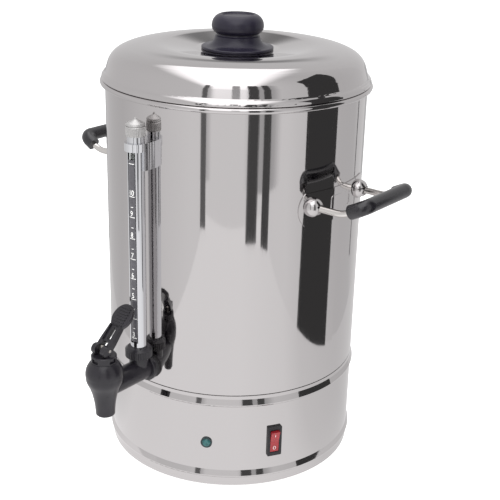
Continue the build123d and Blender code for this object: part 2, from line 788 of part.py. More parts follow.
# ================================================================ tap body, bonnet and valve
with BuildPart() as tap_body:
    with BuildSketch(Plane.XZ.offset(-tap_y)):
        with BuildLine():
            Line((0, spout_z), (spout_radius - 0.8, spout_z))
            Line((spout_radius - 0.8, spout_z), (spout_radius, spout_z + 1.0))
            Spline(
                (spout_radius, spout_z + 1.0),
                (spout_radius + 1.4, spout_z + 15.8),
                (bulb_radius - 2.9, bulb_z - 10.5),
                (bulb_radius, bulb_z),
                tangents=((0.03, 1), (0, 1)),
            )
            ThreePointArc(
                (bulb_radius, bulb_z),
                (bulb_radius - 1.0, bulb_z + 8.6),
                (bonnet_radius + 0.4, shoulder_z),
            )
            Line((bonnet_radius + 0.4, shoulder_z), (0, shoulder_z))
            Line((0, shoulder_z), (0, spout_z))
        make_face()
    revolve(axis=Axis((0, tap_y, 0), (0, 0, 1)))
    with BuildSketch(Plane.XZ.offset(-tap_y)):
        with Locations((0, arm_z)):
            Circle(arm_radius)
    extrude(amount=-boss_length)
    # valve chamber, bonnet thread, seat passage and spout bore
    with BuildSketch(Plane.XY.offset(seat_z)):
        with Locations((0, tap_y)):
            Circle(chamber_radius - 3.2)
    extrude(amount=shoulder_z - seat_z, mode=Mode.SUBTRACT)
    with BuildSketch(Plane.XY.offset(arm_z)):
        with Locations((0, tap_y)):
            Circle(chamber_radius)
    extrude(amount=shoulder_z - bonnet_thread - arm_z, mode=Mode.SUBTRACT)
    with BuildSketch(Plane.XY.offset(shoulder_z - bonnet_thread)):
        with Locations((0, tap_y)):
            Circle(bonnet_thread_radius + slip)
    extrude(amount=bonnet_thread, mode=Mode.SUBTRACT)
    with BuildSketch(Plane.XY.offset(seat_z - 5)):
        with Locations((0, tap_y)):
            Circle(5.0)
    extrude(amount=5, mode=Mode.SUBTRACT)
    with BuildSketch(Plane.XY.offset(spout_z)):
        with Locations((0, tap_y)):
            Circle(spout_bore)
    extrude(amount=seat_z - 5 - spout_z, mode=Mode.SUBTRACT)
    # socket for the arm's spigot and the way into the chamber
    with BuildSketch(Plane.XZ.offset(-arm_end_y)):
        with Locations((0, arm_z)):
            Circle(shank_radius + slip)
    extrude(amount=spigot_length + 0.2, mode=Mode.SUBTRACT)
    with BuildSketch(Plane.XZ.offset(-arm_end_y)):
        with Locations((0, arm_z)):
            Circle(arm_bore)
    extrude(amount=boss_length - 4, mode=Mode.SUBTRACT)
write(tap_body.part, "tap_body")

bonnet_cavity_radius = 7.6
bonnet_roof = 4.5
with BuildPart() as tap_bonnet:
    with BuildSketch(Plane.XY.offset(shoulder_z)):
        with Locations((0, tap_y)):
            Circle(bonnet_radius)
    extrude(amount=bonnet_height)
    chamfer(tap_bonnet.faces().sort_by(Axis.Z)[-1].edges(), 0.8)
    with BuildSketch(Plane.XY.offset(shoulder_z)):
        with Locations((0, tap_y)):
            Circle(bonnet_thread_radius)
    extrude(amount=-bonnet_thread)
    with BuildSketch(Plane.XY.offset(shoulder_z - bonnet_thread)):
        with Locations((0, tap_y)):
            Circle(bonnet_cavity_radius)
    extrude(amount=bonnet_thread + bonnet_height - bonnet_roof, mode=Mode.SUBTRACT)
    with BuildSketch(Plane.XY.offset(bonnet_top_z)):
        with Locations((0, tap_y)):
            Circle(stem_radius + 2 * slip)
    extrude(amount=-bonnet_roof, mode=Mode.SUBTRACT)
    # spanner notches round the collar
    with BuildSketch(Plane.XY.offset(shoulder_z + 1.2)):
        with Locations((0, tap_y)):
            with PolarLocations(bonnet_radius + 1, 4, start_angle=-90):
                Rectangle(6, 7.5)
    extrude(amount=4.4, mode=Mode.SUBTRACT)
write(tap_bonnet.part, "tap_bonnet")

eye_radius = 3.6
cup_radius = 7.8
cup_height = 9.0
cup_flange = 1.4
cup_z = seat_z + rest_gap
with BuildPart() as tap_stem:
    with BuildSketch(Plane.XY.offset(cup_z + 3)):
        with Locations((0, tap_y)):
            Circle(stem_radius)
    extrude(amount=pivot_z - cup_z - 3)
    with BuildSketch(Plane.YZ.offset(-stem_radius - 0.5)):
        with Locations((tap_y, pivot_z)):
            Circle(eye_radius)
    extrude(amount=2 * stem_radius + 1)
    with BuildSketch(Plane.YZ.offset(-stem_radius - 0.5)):
        with Locations((tap_y, pivot_z)):
            Circle(pin_radius + slip)
    extrude(amount=2 * stem_radius + 1, mode=Mode.SUBTRACT)
    # groove ring that holds the seat cup
    with BuildSketch(Plane.XY.offset(cup_z + 3)):
        with Locations((0, tap_y)):
            Circle(4.2)
    extrude(amount=2)
write(tap_stem.part, "tap_stem")

with BuildPart() as seat_cup:
    with BuildSketch(Plane.XY.offset(cup_z)):
        with Locations((0, tap_y)):
            Circle(cup_radius)
    extrude(amount=cup_height)
    fillet(seat_cup.faces().sort_by(Axis.Z)[0].edges(), 2.0)
    with BuildSketch(Plane.XY.offset(cup_z + 3)):
        with Locations((0, tap_y)):
            Circle(4.2 + slip)
    extrude(amount=2 + slip, mode=Mode.SUBTRACT)
    with BuildSketch(Plane.XY.offset(cup_z + 3)):
        with Locations((0, tap_y)):
            Circle(stem_radius + slip)
    extrude(amount=cup_height, mode=Mode.SUBTRACT)
write(seat_cup.part, "seat_cup")

spring_low_z = cup_z + cup_height + spring_wire
spring_high_z = bonnet_top_z - bonnet_roof - spring_wire
with BuildPart() as tap_spring:
    with BuildLine(Plane.XY.offset(spring_low_z)) as coil:
        Helix(
            (spring_high_z - spring_low_z) / spring_turns,
            spring_high_z - spring_low_z,
            spring_radius,
            center=(0, tap_y, 0),
        )
    with BuildSketch(Plane(origin=coil.line @ 0, z_dir=coil.line % 0)):
        Circle(spring_wire)
    sweep()
write(tap_spring.part, "tap_spring")

lean = radians(lever_lean_deg)
lever_plane = Plane(
    origin=(0, tap_y, pivot_z), x_dir=(1, 0, 0), z_dir=(0, -cos(lean), sin(lean))
)
heel_radius = pivot_rise - rest_gap
cam_offset = 3.2
arm_width_top = lever_width - 3
with BuildPart() as tap_lever:
    with BuildSketch(lever_plane.offset(-lever_thickness / 2)):
        with Locations((0, lever_reach)):
            Ellipse(paddle_width / 2, paddle_length / 2)
    extrude(amount=lever_thickness - 1.5)
    fillet(tap_lever.edges().filter_by(GeomType.ELLIPSE), 1.2)
    with BuildSketch(lever_plane.offset(-lever_thickness / 2)):
        with BuildLine():
            Polyline(
                (-lever_width / 2, -1.5),
                (lever_width / 2, -1.5),
                (lever_width / 2, 8),
                (arm_width_top / 2, lever_reach - 10),
                (-arm_width_top / 2, lever_reach - 10),
                (-lever_width / 2, 8),
                close=True,
            )
        make_face()
    extrude(amount=lever_thickness)
    # heel that rolls on the bonnet and lifts the stem
    with BuildSketch(Plane.YZ.offset(-lever_width / 2)):
        with Locations((tap_y - cam_offset, pivot_z)):
            Circle(heel_radius)
        with Locations((tap_y, pivot_z)):
            Circle(heel_radius - 0.6)
    extrude(amount=lever_width)
    # fork round the stem, slot through the arm, hollow between the arm's two ribs
    with BuildSketch(lever_plane.offset(-15)):
        with Locations((0, -3)):
            Rectangle(fork_gap, 20)
        with Locations((0, 16)):
            SlotOverall(13, 4.6, rotation=90)
    extrude(amount=30, mode=Mode.SUBTRACT)
    with BuildSketch(lever_plane.offset(lever_thickness / 2)):
        with Locations((0, 16)):
            Rectangle(lever_width - 6, 17)
    extrude(amount=-1.6, mode=Mode.SUBTRACT)
    # ribs across the thumb paddle
    with BuildSketch(lever_plane.offset(lever_thickness / 2 - 1.5)):
        with Locations(*[(0, lever_reach + 2.9 * i) for i in range(-3, 4)]):
            Rectangle(13, 1.2)
    extrude(amount=0.7)
    with BuildSketch(Plane.YZ.offset(-lever_width)):
        with Locations((tap_y, pivot_z)):
            Circle(pin_radius + slip)
    extrude(amount=2 * lever_width, mode=Mode.SUBTRACT)
write(tap_lever.part, "tap_lever")

with BuildPart() as lever_pin:
    with BuildSketch(Plane.YZ.offset(-lever_width / 2)):
        with Locations((tap_y, pivot_z)):
            Circle(pin_radius)
    extrude(amount=lever_width)
write(lever_pin.part, "lever_pin")

# ================================================================ sight gauge
gauge_top_z = cap_z + 1.5  # top of the guard, inside the cap
glass_low_z = boss_top_z - socket_depth
glass_top_z = gauge_top_z + 1.0


def sector(radius, from_deg, to_deg):
    """A pie slice round the gauge's axis; angles start at the front and grow towards +X."""
    steps = 6
    angles = [from_deg + (to_deg - from_deg) * i / steps for i in range(steps + 1)]
    points = [(radius * sin(radians(a)), gauge_y - radius * cos(radians(a))) for a in angles]
    Polygon((0, gauge_y), *points, align=None)


with BuildPart() as gauge_guard:
    with BuildSketch(Plane.XY.offset(boss_top_z + slip)):
        with Locations((0, gauge_y)):
            Circle(guard_radius)
            Circle(guard_radius - guard_wall, mode=Mode.SUBTRACT)
    extrude(amount=gauge_top_z - boss_top_z - slip)
    with BuildSketch(Plane.XY.offset(window_low_z)):
        sector(guard_radius * 2, -window_deg, window_deg)
    extrude(amount=window_high_z - window_low_z, mode=Mode.SUBTRACT)
write(gauge_guard.part, "gauge_guard")

with BuildPart() as gauge_glass:
    with BuildSketch(Plane.XY.offset(glass_low_z)):
        with Locations((0, gauge_y)):
            Circle(glass_radius)
            Circle(glass_radius - glass_wall, mode=Mode.SUBTRACT)
    extrude(amount=glass_top_z - glass_low_z)
write(gauge_glass.part, "gauge_glass")

with BuildPart() as scale_strip:
    with BuildSketch(Plane.XY.offset(window_low_z + 1)):
        sector(guard_radius * 2, strip_from_deg, strip_to_deg)
        with Locations((0, gauge_y)):
            Circle(glass_radius + slip + strip_thickness, mode=Mode.INTERSECT)
            Circle(glass_radius + slip, mode=Mode.SUBTRACT)
    extrude(amount=strip_high_z - window_low_z - 1)
write(scale_strip.part, "scale_strip")

with BuildPart() as gauge_seal_ring:
    with BuildSketch(Plane.XY.offset(glass_low_z - gauge_seal)):
        with Locations((0, gauge_y)):
            Circle(glass_radius)
            Circle(glass_radius - glass_wall - 0.8, mode=Mode.SUBTRACT)
    extrude(amount=gauge_seal)
write(gauge_seal_ring.part, "gauge_seal_ring")

knurl_depth = 0.45
nut_ribs = 36
with BuildPart() as gauge_nut:
    with BuildSketch(Plane.XY.offset(gauge_nut_z)):
        with Locations((0, gauge_y)):
            Circle(gauge_nut_radius)
    extrude(amount=gauge_nut_height)
    chamfer(gauge_nut.faces().sort_by(Axis.Z)[-1].edges(), 2.2, 2.6)
    chamfer(gauge_nut.faces().sort_by(Axis.Z)[0].edges(), 0.6)
    with BuildSketch(Plane.XY.offset(gauge_nut_z)):
        with Locations((0, gauge_y)):
            Circle(boss_radius + slip)
    extrude(amount=boss_top_z + slip - gauge_nut_z, mode=Mode.SUBTRACT)
    with BuildSketch(Plane.XY.offset(gauge_nut_z)):
        with Locations((0, gauge_y)):
            Circle(guard_radius + slip)
    extrude(amount=gauge_nut_height, mode=Mode.SUBTRACT)
    with BuildSketch(Plane.XY.offset(gauge_nut_z)):
        with Locations((0, gauge_y)):
            with PolarLocations(gauge_nut_radius + 0.35, nut_ribs):
                Circle(0.35 + knurl_depth)
    extrude(amount=gauge_nut_height - 2.4, mode=Mode.SUBTRACT)
write(gauge_nut.part, "gauge_nut")

cap_ribs = 40
with BuildPart() as gauge_cap:
    with BuildSketch(Plane.XZ.offset(-gauge_y)):
        with BuildLine():
            Polyline(
                (0, cap_z),
                (cap_radius - 0.5, cap_z),
                (cap_radius, cap_z + 0.5),
                (cap_radius, cap_z + cap_grip - 0.5),
                (cap_radius - 0.5, cap_z + cap_grip),
                (cap_radius - 1.3, cap_z + cap_grip),
                (cap_radius - 1.3, cap_z + cap_grip + 1.2),
                (cap_radius - 0.4, cap_z + cap_grip + 1.2),
                (cap_radius - 0.2, cap_z + cap_grip + 1.6),
                (cap_radius - 0.8, cap_z + cap_grip + 3.0),
                (1.5, cap_z + cap_height - 1.8),
                (1.0, cap_z + cap_height - 0.3),
                (0.5, cap_z + cap_height),
                (0, cap_z + cap_height),
                close=True,
            )
        make_face()
    revolve(axis=Axis((0, gauge_y, 0), (0, 0, 1)))
    with BuildSketch(Plane.XY.offset(cap_z)):
        with Locations((0, gauge_y)):
            Circle(guard_radius + slip)
    extrude(amount=gauge_top_z + slip - cap_z, mode=Mode.SUBTRACT)
    with BuildSketch(Plane.XY.offset(cap_z)):
        with Locations((0, gauge_y)):
            Circle(glass_radius + slip)
    extrude(amount=glass_top_z + gauge_seal - cap_z, mode=Mode.SUBTRACT)
    with BuildSketch(Plane.XY.offset(cap_z + 1)):
        with Locations((0, gauge_y)):
            with PolarLocations(cap_radius + 0.3, cap_ribs):
                Circle(0.3 + 0.3)
    extrude(amount=cap_grip - 2, mode=Mode.SUBTRACT)
write(gauge_cap.part, "gauge_cap")

with BuildPart() as cap_seal_ring:
    with BuildSketch(Plane.XY.offset(glass_top_z)):
        with Locations((0, gauge_y)):
            Circle(glass_radius)
            Circle(glass_radius - glass_wall, mode=Mode.SUBTRACT)
    extrude(amount=gauge_seal)
write(cap_seal_ring.part, "cap_seal_ring")

bracket_screw_depth = 4.2
with BuildPart() as gauge_bracket:
    with BuildSketch(Plane.XY.offset(bracket_top_z - bracket_ring_height)):
        with Locations((0, gauge_y)):
            Circle(bracket_half_width)
    extrude(amount=bracket_ring_height)
    with BuildSketch(Plane.XY.offset(bracket_top_z - bracket_foot_height)):
        with Locations((0, gauge_y)):
            Rectangle(2 * bracket_half_width, gauge_standoff + 4, align=(Align.CENTER, Align.MIN))
    extrude(amount=bracket_foot_height)
    with BuildSketch(Plane.XY.offset(bracket_top_z - bracket_foot_height)):
        with Locations((0, gauge_y)):
            Circle(guard_radius + slip)
        Circle(body_radius + slip)
    extrude(amount=bracket_foot_height, mode=Mode.SUBTRACT)
    with BuildSketch(Plane.XZ.offset(body_radius - 3)):
        with Locations(*[(0, height) for height in bracket_screw_heights]):
            Circle(m4_radius + slip)
    extrude(amount=3 + bracket_screw_depth, mode=Mode.SUBTRACT)
write(gauge_bracket.part, "gauge_bracket")

washer_thickness = 0.8
screw_seat_y = -(inner_radius - slip - 0.1)
with BuildPart() as bracket_washers:
    with BuildSketch(Plane.XZ.offset(-screw_seat_y)):
        with Locations(*[(0, height) for height in bracket_screw_heights]):
            Circle(4.5)
            Circle(m4_radius + slip, mode=Mode.SUBTRACT)
    extrude(amount=-washer_thickness)
write(bracket_washers.part, "bracket_washers")

with BuildPart() as bracket_screws:
    with BuildSketch(Plane.XZ.offset(-screw_seat_y - washer_thickness)):
        with Locations(*[(0, height) for height in bracket_screw_heights]):
            Circle(3.8)
    extrude(amount=-2.4)
    with BuildSketch(Plane.XZ.offset(-screw_seat_y - washer_thickness)):
        with Locations(*[(0, height) for height in bracket_screw_heights]):
            Circle(m4_radius)
    extrude(amount=washer_thickness + sheet + bracket_screw_depth - 0.3)
write(bracket_screws.part, "bracket_screws")

# ================================================================ bail handles
plate_outer_radius = body_radius + slip + plate_thickness
dome_centre_radius = plate_outer_radius + 0.4
socket_radius = ball_radius + rest_gap
leg_slot = wire_radius + rest_gap + slip
slot_back = wire_radius - 0.15  # the legs swing clear of this side of the slot
plate_top_z = handle_z - 2.2 + handle_plate_height / 2
plate_low_z = plate_top_z - handle_plate_height
plate_middle_z = (plate_top_z + plate_low_z) / 2
plate_corner = handle_plate_half - handle_plate_bulge

for side_name, side in (("right", 1), ("left", -1)):
    pivots = [(side * handle_pivot_x, y, handle_z) for y in (-handle_half_pitch, handle_half_pitch)]
    dome_x = side * sqrt(dome_centre_radius**2 - handle_half_pitch**2)
    inward = 180 if side > 0 else 0

    with BuildPart() as plate_sheet:
        with BuildSketch(Plane.XY.offset(plate_low_z)):
            Circle(plate_outer_radius)
            Circle(body_radius + slip, mode=Mode.SUBTRACT)
        extrude(amount=handle_plate_height)
        with BuildSketch(Plane.YZ.offset(side * body_radius / 2)):
            with BuildLine():
                Line((-plate_corner, plate_top_z), (plate_corner, plate_top_z))
                ThreePointArc(
                    (plate_corner, plate_top_z),
                    (handle_plate_half, plate_middle_z),
                    (plate_corner, plate_low_z),
                )
                Line((plate_corner, plate_low_z), (-plate_corner, plate_low_z))
                ThreePointArc(
                    (-plate_corner, plate_low_z),
                    (-handle_plate_half, plate_middle_z),
                    (-plate_corner, plate_top_z),
                )
            make_face()
        extrude(amount=side * body_radius, mode=Mode.INTERSECT)

    # domes that hold the ball ends of the bail, set into the sheet by half its thickness
    with BuildPart() as handle_plate:
        with Locations(*[(dome_x, pivot[1], pivot[2]) for pivot in pivots]):
            Sphere(dome_radius, rotation=(90, 0, inward))
        with BuildSketch(Plane.XY.offset(handle_z - 2 * dome_radius)):
            Circle(plate_outer_radius - plate_thickness / 2)
        extrude(amount=4 * dome_radius, mode=Mode.SUBTRACT)
        add(plate_sheet.part)
        # sockets and the slots in which the legs swing from level to hanging
        with Locations(*pivots):
            Sphere(socket_radius, rotation=(90, 0, inward), mode=Mode.SUBTRACT)
        for pivot in pivots:
            with BuildSketch(Plane.XZ.offset(-pivot[1] - leg_slot)):
                with BuildLine():
                    Polyline(
                        (pivot[0], pivot[2] + leg_slot),
                        (pivot[0] + side * 2 * dome_radius, pivot[2] + leg_slot),
                        (pivot[0] + side * 2 * dome_radius, pivot[2] - 2 * dome_radius),
                        (pivot[0] - side * slot_back, pivot[2] - 2 * dome_radius),
                        (pivot[0] - side * slot_back, pivot[2]),
                        (pivot[0], pivot[2]),
                        close=True,
                    )
                make_face()
            extrude(amount=2 * leg_slot, mode=Mode.SUBTRACT)
    write(handle_plate.part, f"handle_plate_{side_name}")

    crank_x = side * (handle_pivot_x + bail_leg)
    reach_x = side * (handle_pivot_x + bail_reach)
    cross_z = handle_z + bail_rise
    with BuildPart() as bail:
        with BuildLine() as bail_path:
            FilletPolyline(
                pivots[0],
                (crank_x, -handle_half_pitch, handle_z),
                (reach_x, -handle_half_pitch, cross_z),
                (reach_x, handle_half_pitch, cross_z),
                (crank_x, handle_half_pitch, handle_z),
                pivots[1],
                radius=[bail_crank_radius, bail_corner_radius, bail_corner_radius, bail_crank_radius],
            )
        with BuildSketch(Plane(origin=bail_path.line @ 0, z_dir=bail_path.line % 0)):
            Circle(wire_radius)
        sweep()
        with Locations(*pivots):
            Sphere(ball_radius, rotation=(90, 0, inward))
    write(bail.part, f"bail_{side_name}")

    leg_run = sqrt((bail_reach - bail_leg) ** 2 + bail_rise**2)
    grip_x = crank_x + side * (bail_reach - bail_leg) * grip_start / leg_run
    grip_z = handle_z + bail_rise * grip_start / leg_run
    with BuildPart() as grip:
        with BuildLine() as grip_path:
            FilletPolyline(
                (grip_x, -handle_half_pitch, grip_z),
                (reach_x, -handle_half_pitch, cross_z),
                (reach_x, handle_half_pitch, cross_z),
                (grip_x, handle_half_pitch, grip_z),
                radius=[bail_corner_radius, bail_corner_radius],
            )
        with BuildSketch(Plane(origin=grip_path.line @ 0, z_dir=grip_path.line % 0)):
            Circle(grip_radius)
            Circle(wire_radius + slip, mode=Mode.SUBTRACT)
        sweep()
    write(grip.part, f"grip_{side_name}")

# ================================================================ lamp
lamp_face = wall_plane(lamp_angle, body_radius, panel_z)
bezel_height = 1.2
with BuildPart() as lamp_body:
    with BuildSketch(lamp_face.offset(slip)):
        Circle(lamp_bezel_radius)
    extrude(amount=bezel_height)
    with BuildSketch(lamp_face.offset(slip)):
        Circle(lamp_barrel_radius)
    extrude(amount=-lamp_depth)
    with BuildSketch(lamp_face.offset(bezel_height + slip)):
        Circle(lamp_lens_radius + slip)
    extrude(amount=-(lamp_depth + bezel_height - 3), mode=Mode.SUBTRACT)
    with BuildSketch(lamp_face.offset(slip - lamp_depth)):
        with Locations((-2.5, 0), (2.5, 0)):
            Rectangle(0.8, 4.8)
    extrude(amount=-8)
write(lamp_body.part, "lamp_body")

lens_rise = 1.4
with BuildPart() as lamp_lens:
    with BuildSketch(lamp_face.offset(bezel_height + slip - 6)):
        Circle(lamp_lens_radius)
    extrude(amount=6)
    with BuildSketch(lamp_face.offset(bezel_height + slip)):
        Circle(lamp_lens_radius)
    extrude(amount=lens_rise, taper=30)
write(lamp_lens.part, "lamp_lens")

with BuildPart() as lamp_nut:
    with BuildSketch(lamp_face.offset(-sheet - 0.3)):
        Circle(lamp_nut_radius)
        Circle(lamp_barrel_radius + slip, mode=Mode.SUBTRACT)
    extrude(amount=-3)
write(lamp_nut.part, "lamp_nut")

# ================================================================ rocker switch
switch_face = wall_plane(switch_angle, body_radius, panel_z)
cavity_half = rocker_half + 0.9
cavity_width = rocker_width + 0.6
cavity_depth = 7.0
trunnion_radius = 1.2
trunnion_length = 1.2
with BuildPart() as switch_body:
    with BuildSketch(switch_face.offset(slip)):
        RectangleRounded(switch_width, switch_height, 1.2)
    extrude(amount=switch_bezel)
    with BuildSketch(switch_face.offset(slip)):
        Rectangle(switch_body_width, switch_body_height)
    extrude(amount=-switch_depth)
    with BuildSketch(switch_face.offset(switch_bezel + slip)):
        Rectangle(cavity_width, 2 * cavity_half)
    extrude(amount=-(switch_bezel + cavity_depth), mode=Mode.SUBTRACT)
    with BuildSketch(Plane(origin=switch_face.origin, x_dir=(0, 0, 1), z_dir=switch_face.x_dir)
                     .offset(-cavity_width / 2 - trunnion_length - slip)):
        Circle(trunnion_radius + slip)
    extrude(amount=cavity_width + 2 * (trunnion_length + slip), mode=Mode.SUBTRACT)
write(switch_body.part, "switch_body")

tilt = radians(rocker_tilt_deg)


def rocker_point(along, out):
    """A point of the rocker's section, turned from level to its OFF position."""
    return (along * cos(tilt) - out * sin(tilt), along * sin(tilt) + out * cos(tilt))


# section plane: its X is up and its Y is out of the skirt
rocker_plane = Plane(
    origin=switch_face.origin, x_dir=(0, 0, 1), z_dir=switch_face.x_dir
)
with BuildPart() as switch_rocker:
    with BuildSketch(rocker_plane.offset(-rocker_width / 2)):
        with BuildLine():
            Polyline(
                rocker_point(-rocker_half, 3.5),
                rocker_point(0, 2.2),
                rocker_point(rocker_half, 3.5),
                rocker_point(rocker_half - 0.2, -0.5),
                rocker_point(7, -4),
                rocker_point(-7, -4),
                rocker_point(-rocker_half + 0.2, -0.5),
                close=True,
            )
        make_face()
    extrude(amount=rocker_width)
    with BuildSketch(rocker_plane.offset(-rocker_width / 2 - trunnion_length)):
        Circle(trunnion_radius)
    extrude(amount=rocker_width + 2 * trunnion_length)
write(switch_rocker.part, "switch_rocker")

with BuildPart() as switch_tabs:
    with BuildSketch(switch_face.offset(slip - switch_depth)):
        with Locations((0, -9), (0, 0), (0, 9)):
            Rectangle(6.3, 0.8)
    extrude(amount=-9)
write(switch_tabs.part, "switch_tabs")

# ================================================================ mains inlet at the back
inlet_face = wall_plane(inlet_angle, body_radius, panel_z)
pin_places = [(-2, -7), (-2, 7), (2, 0)]
with BuildPart() as inlet_socket:
    with BuildSketch(inlet_face.offset(slip)):
        RectangleRounded(inlet_width, inlet_height, 4)
    extrude(amount=inlet_flange)
    with BuildSketch(inlet_face.offset(slip)):
        Rectangle(inlet_body_width, inlet_body_height)
    extrude(amount=-inlet_depth)
    with BuildSketch(inlet_face.offset(inlet_flange + slip)):
        with BuildLine():
            w = inlet_cavity_width / 2
            h = inlet_cavity_height / 2
            Polyline((-w, -h), (w - 4, -h), (w, -h + 4), (w, h - 4), (w - 4, h), (-w, h), close=True)
        make_face()
    extrude(amount=-inlet_cavity_depth, mode=Mode.SUBTRACT)
    with BuildSketch(inlet_face.offset(slip - inlet_depth)):
        with Locations(*pin_places):
            Rectangle(4 + 2 * slip, 2 + 2 * slip)
    extrude(amount=inlet_depth, mode=Mode.SUBTRACT)
    with BuildSketch(inlet_face.offset(inlet_flange + slip)):
        with Locations((0, inlet_screw_pitch / 2), (0, -inlet_screw_pitch / 2)):
            Circle(m3_radius + slip)
    extrude(amount=-inlet_flange, mode=Mode.SUBTRACT)
write(inlet_socket.part, "inlet_socket")

with BuildPart() as inlet_pins:
    with BuildSketch(inlet_face.offset(-inlet_depth - 8)):
        with Locations(*pin_places):
            Rectangle(4, 2)
    extrude(amount=inlet_depth + 8 + inlet_flange - 3)
write(inlet_pins.part, "inlet_pins")

inlet_screw_places = [(0, inlet_screw_pitch / 2), (0, -inlet_screw_pitch / 2)]
with BuildPart() as inlet_screws:
    with BuildSketch(inlet_face.offset(inlet_flange + slip)):
        with Locations(*inlet_screw_places):
            Circle(2.9)
    extrude(amount=1.8)
    with BuildSketch(inlet_face.offset(inlet_flange + slip)):
        with Locations(*inlet_screw_places):
            Circle(m3_radius)
    extrude(amount=-(inlet_flange + sheet + 4))
write(inlet_screws.part, "inlet_screws")

with BuildPart() as inlet_nuts:
    with BuildSketch(inlet_face.offset(-sheet - 0.1)):
        with Locations(*inlet_screw_places):
            RegularPolygon(2.75, 6, major_radius=False)
            Circle(m3_radius + slip, mode=Mode.SUBTRACT)
    extrude(amount=-2.4)
write(inlet_nuts.part, "inlet_nuts")
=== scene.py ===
import math

import bmesh
import bpy
from mathutils import Matrix, Vector


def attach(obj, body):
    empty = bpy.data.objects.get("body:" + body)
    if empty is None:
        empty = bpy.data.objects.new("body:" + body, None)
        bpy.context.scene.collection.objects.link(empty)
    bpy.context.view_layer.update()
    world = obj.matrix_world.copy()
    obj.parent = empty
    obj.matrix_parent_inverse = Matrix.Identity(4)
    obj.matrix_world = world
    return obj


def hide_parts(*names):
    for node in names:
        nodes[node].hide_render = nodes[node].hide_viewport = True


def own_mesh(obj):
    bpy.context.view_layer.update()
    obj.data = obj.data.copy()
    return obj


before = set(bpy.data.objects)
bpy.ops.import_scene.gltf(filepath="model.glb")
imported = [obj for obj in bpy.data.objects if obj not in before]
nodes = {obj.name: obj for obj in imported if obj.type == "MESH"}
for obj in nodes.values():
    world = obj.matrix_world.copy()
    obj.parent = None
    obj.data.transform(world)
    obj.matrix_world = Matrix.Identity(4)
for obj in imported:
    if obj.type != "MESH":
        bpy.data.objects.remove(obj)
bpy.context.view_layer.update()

scene = bpy.context.scene
scene.view_settings.view_transform = "Standard"

# ---------------------------------------------------------------- camera
# Stands in front and to the right of the urn, above its lid, and is rolled by a degree and a
# half. The lens is set for a square frame.
camera_data = bpy.data.cameras.new("camera")
camera_data.sensor_width = 36.0
camera_data.lens = 74.48
camera_data.clip_start = 0.05
camera = bpy.data.objects.new("camera", camera_data)
scene.collection.objects.link(camera)
facing = math.radians(38)  # from the tap towards +X
look = Vector((-0.5740, 0.7347, -0.3616)).normalized()
level = Vector((math.cos(facing), math.sin(facing), 0))
upright = level.cross(look)
roll = math.radians(1.537)
right = level * math.cos(roll) + upright * math.sin(roll)
up = upright * math.cos(roll) - level * math.sin(roll)
turn = Matrix((right, up, -look)).transposed().to_4x4()
camera.matrix_world = Matrix.Translation((0.6422, -0.7932, 0.6041)) @ turn
scene.camera = camera

# ---------------------------------------------------------------- studio
# A white room with soft overhead light. Polished steel shows whatever stands round it, so the
# room has a pale table in front and dark door-like cards at the sides.


def linear(hex_colour):
    """An sRGB hex colour as the linear numbers that a shader takes."""
    parts = [int(hex_colour[i:i + 2], 16) / 255 for i in (1, 3, 5)]
    return tuple(p / 12.92 if p <= 0.04045 else ((p + 0.055) / 1.055) ** 2.4 for p in parts) + (1.0,)


def add(tree, kind, settings=(), links=()):
    """Adds one node; settings name its sockets or properties, links are (socket, other node's output)."""
    node = tree.nodes.new("ShaderNode" + kind)
    for name, value in dict(settings).items():
        if isinstance(name, int) or name in node.inputs:
            node.inputs[name].default_value = value
        else:
            setattr(node, name, value)
    for name, output in dict(links).items():
        tree.links.new(output, node.inputs[name])
    return node


def by_azimuth(tree, source, tones):
    """A grey that changes with the direction round the urn; tones are (degrees from the tap, tone)."""
    split = add(tree, "SeparateXYZ", {}, {0: source})
    back = add(tree, "Math", {"operation": "MULTIPLY", 1: -1.0}, {0: split.outputs["Y"]})
    angle = add(tree, "Math", {"operation": "ARCTAN2"}, {0: split.outputs["X"], 1: back.outputs[0]})
    share = add(tree, "MapRange", {"From Min": -math.pi, "From Max": math.pi},
                {"Value": angle.outputs[0]})
    grey = add(tree, "ValToRGB", {}, {"Fac": share.outputs[0]})
    ramp = grey.color_ramp
    while len(ramp.elements) < len(tones):
        ramp.elements.new(0.5)
    for element, (degrees, tone) in zip(ramp.elements, tones):
        element.position = (degrees + 180) / 360
        element.color = (tone, tone * 0.99, tone * 0.995, 1)
    return grey.outputs["Color"]


world = bpy.data.worlds.new("white room")
scene.world = world
world.use_nodes = True
room = world.node_tree
room.nodes.clear()
path = add(room, "LightPath")
# walls of the room as the steel sees them: paler ahead of the urn, greyer at its sides
wall_tones = [(-180, 0.72), (-162, 0.72), (-137, 0.70), (-108, 0.70), (-60, 0.74), (0, 0.78),
              (22, 0.88), (47, 0.88), (72, 0.80), (108, 0.70), (144, 0.66), (180, 0.70)]
wall_grey = by_azimuth(room, add(room, "TexCoord").outputs["Generated"], wall_tones)
seen = add(room, "Background", {"Strength": 1.0}, {"Color": wall_grey})
plain = add(room, "Background", {"Color": (1, 1, 1, 1), "Strength": 1.0})
lit = add(room, "Background", {"Color": (1, 1, 1, 1), "Strength": 0.62})
straight = add(room, "Math", {"operation": "MAXIMUM"},
               {0: path.outputs["Is Camera Ray"], 1: path.outputs["Is Transmission Ray"]})
mirrored = add(room, "MixShader", {},
               {0: path.outputs["Is Glossy Ray"], 1: lit.outputs[0], 2: seen.outputs[0]})
backdrop = add(room, "MixShader", {},
               {0: straight.outputs[0], 1: mirrored.outputs[0], 2: plain.outputs[0]})
add(room, "OutputWorld", {}, {"Surface": backdrop.outputs[0]})


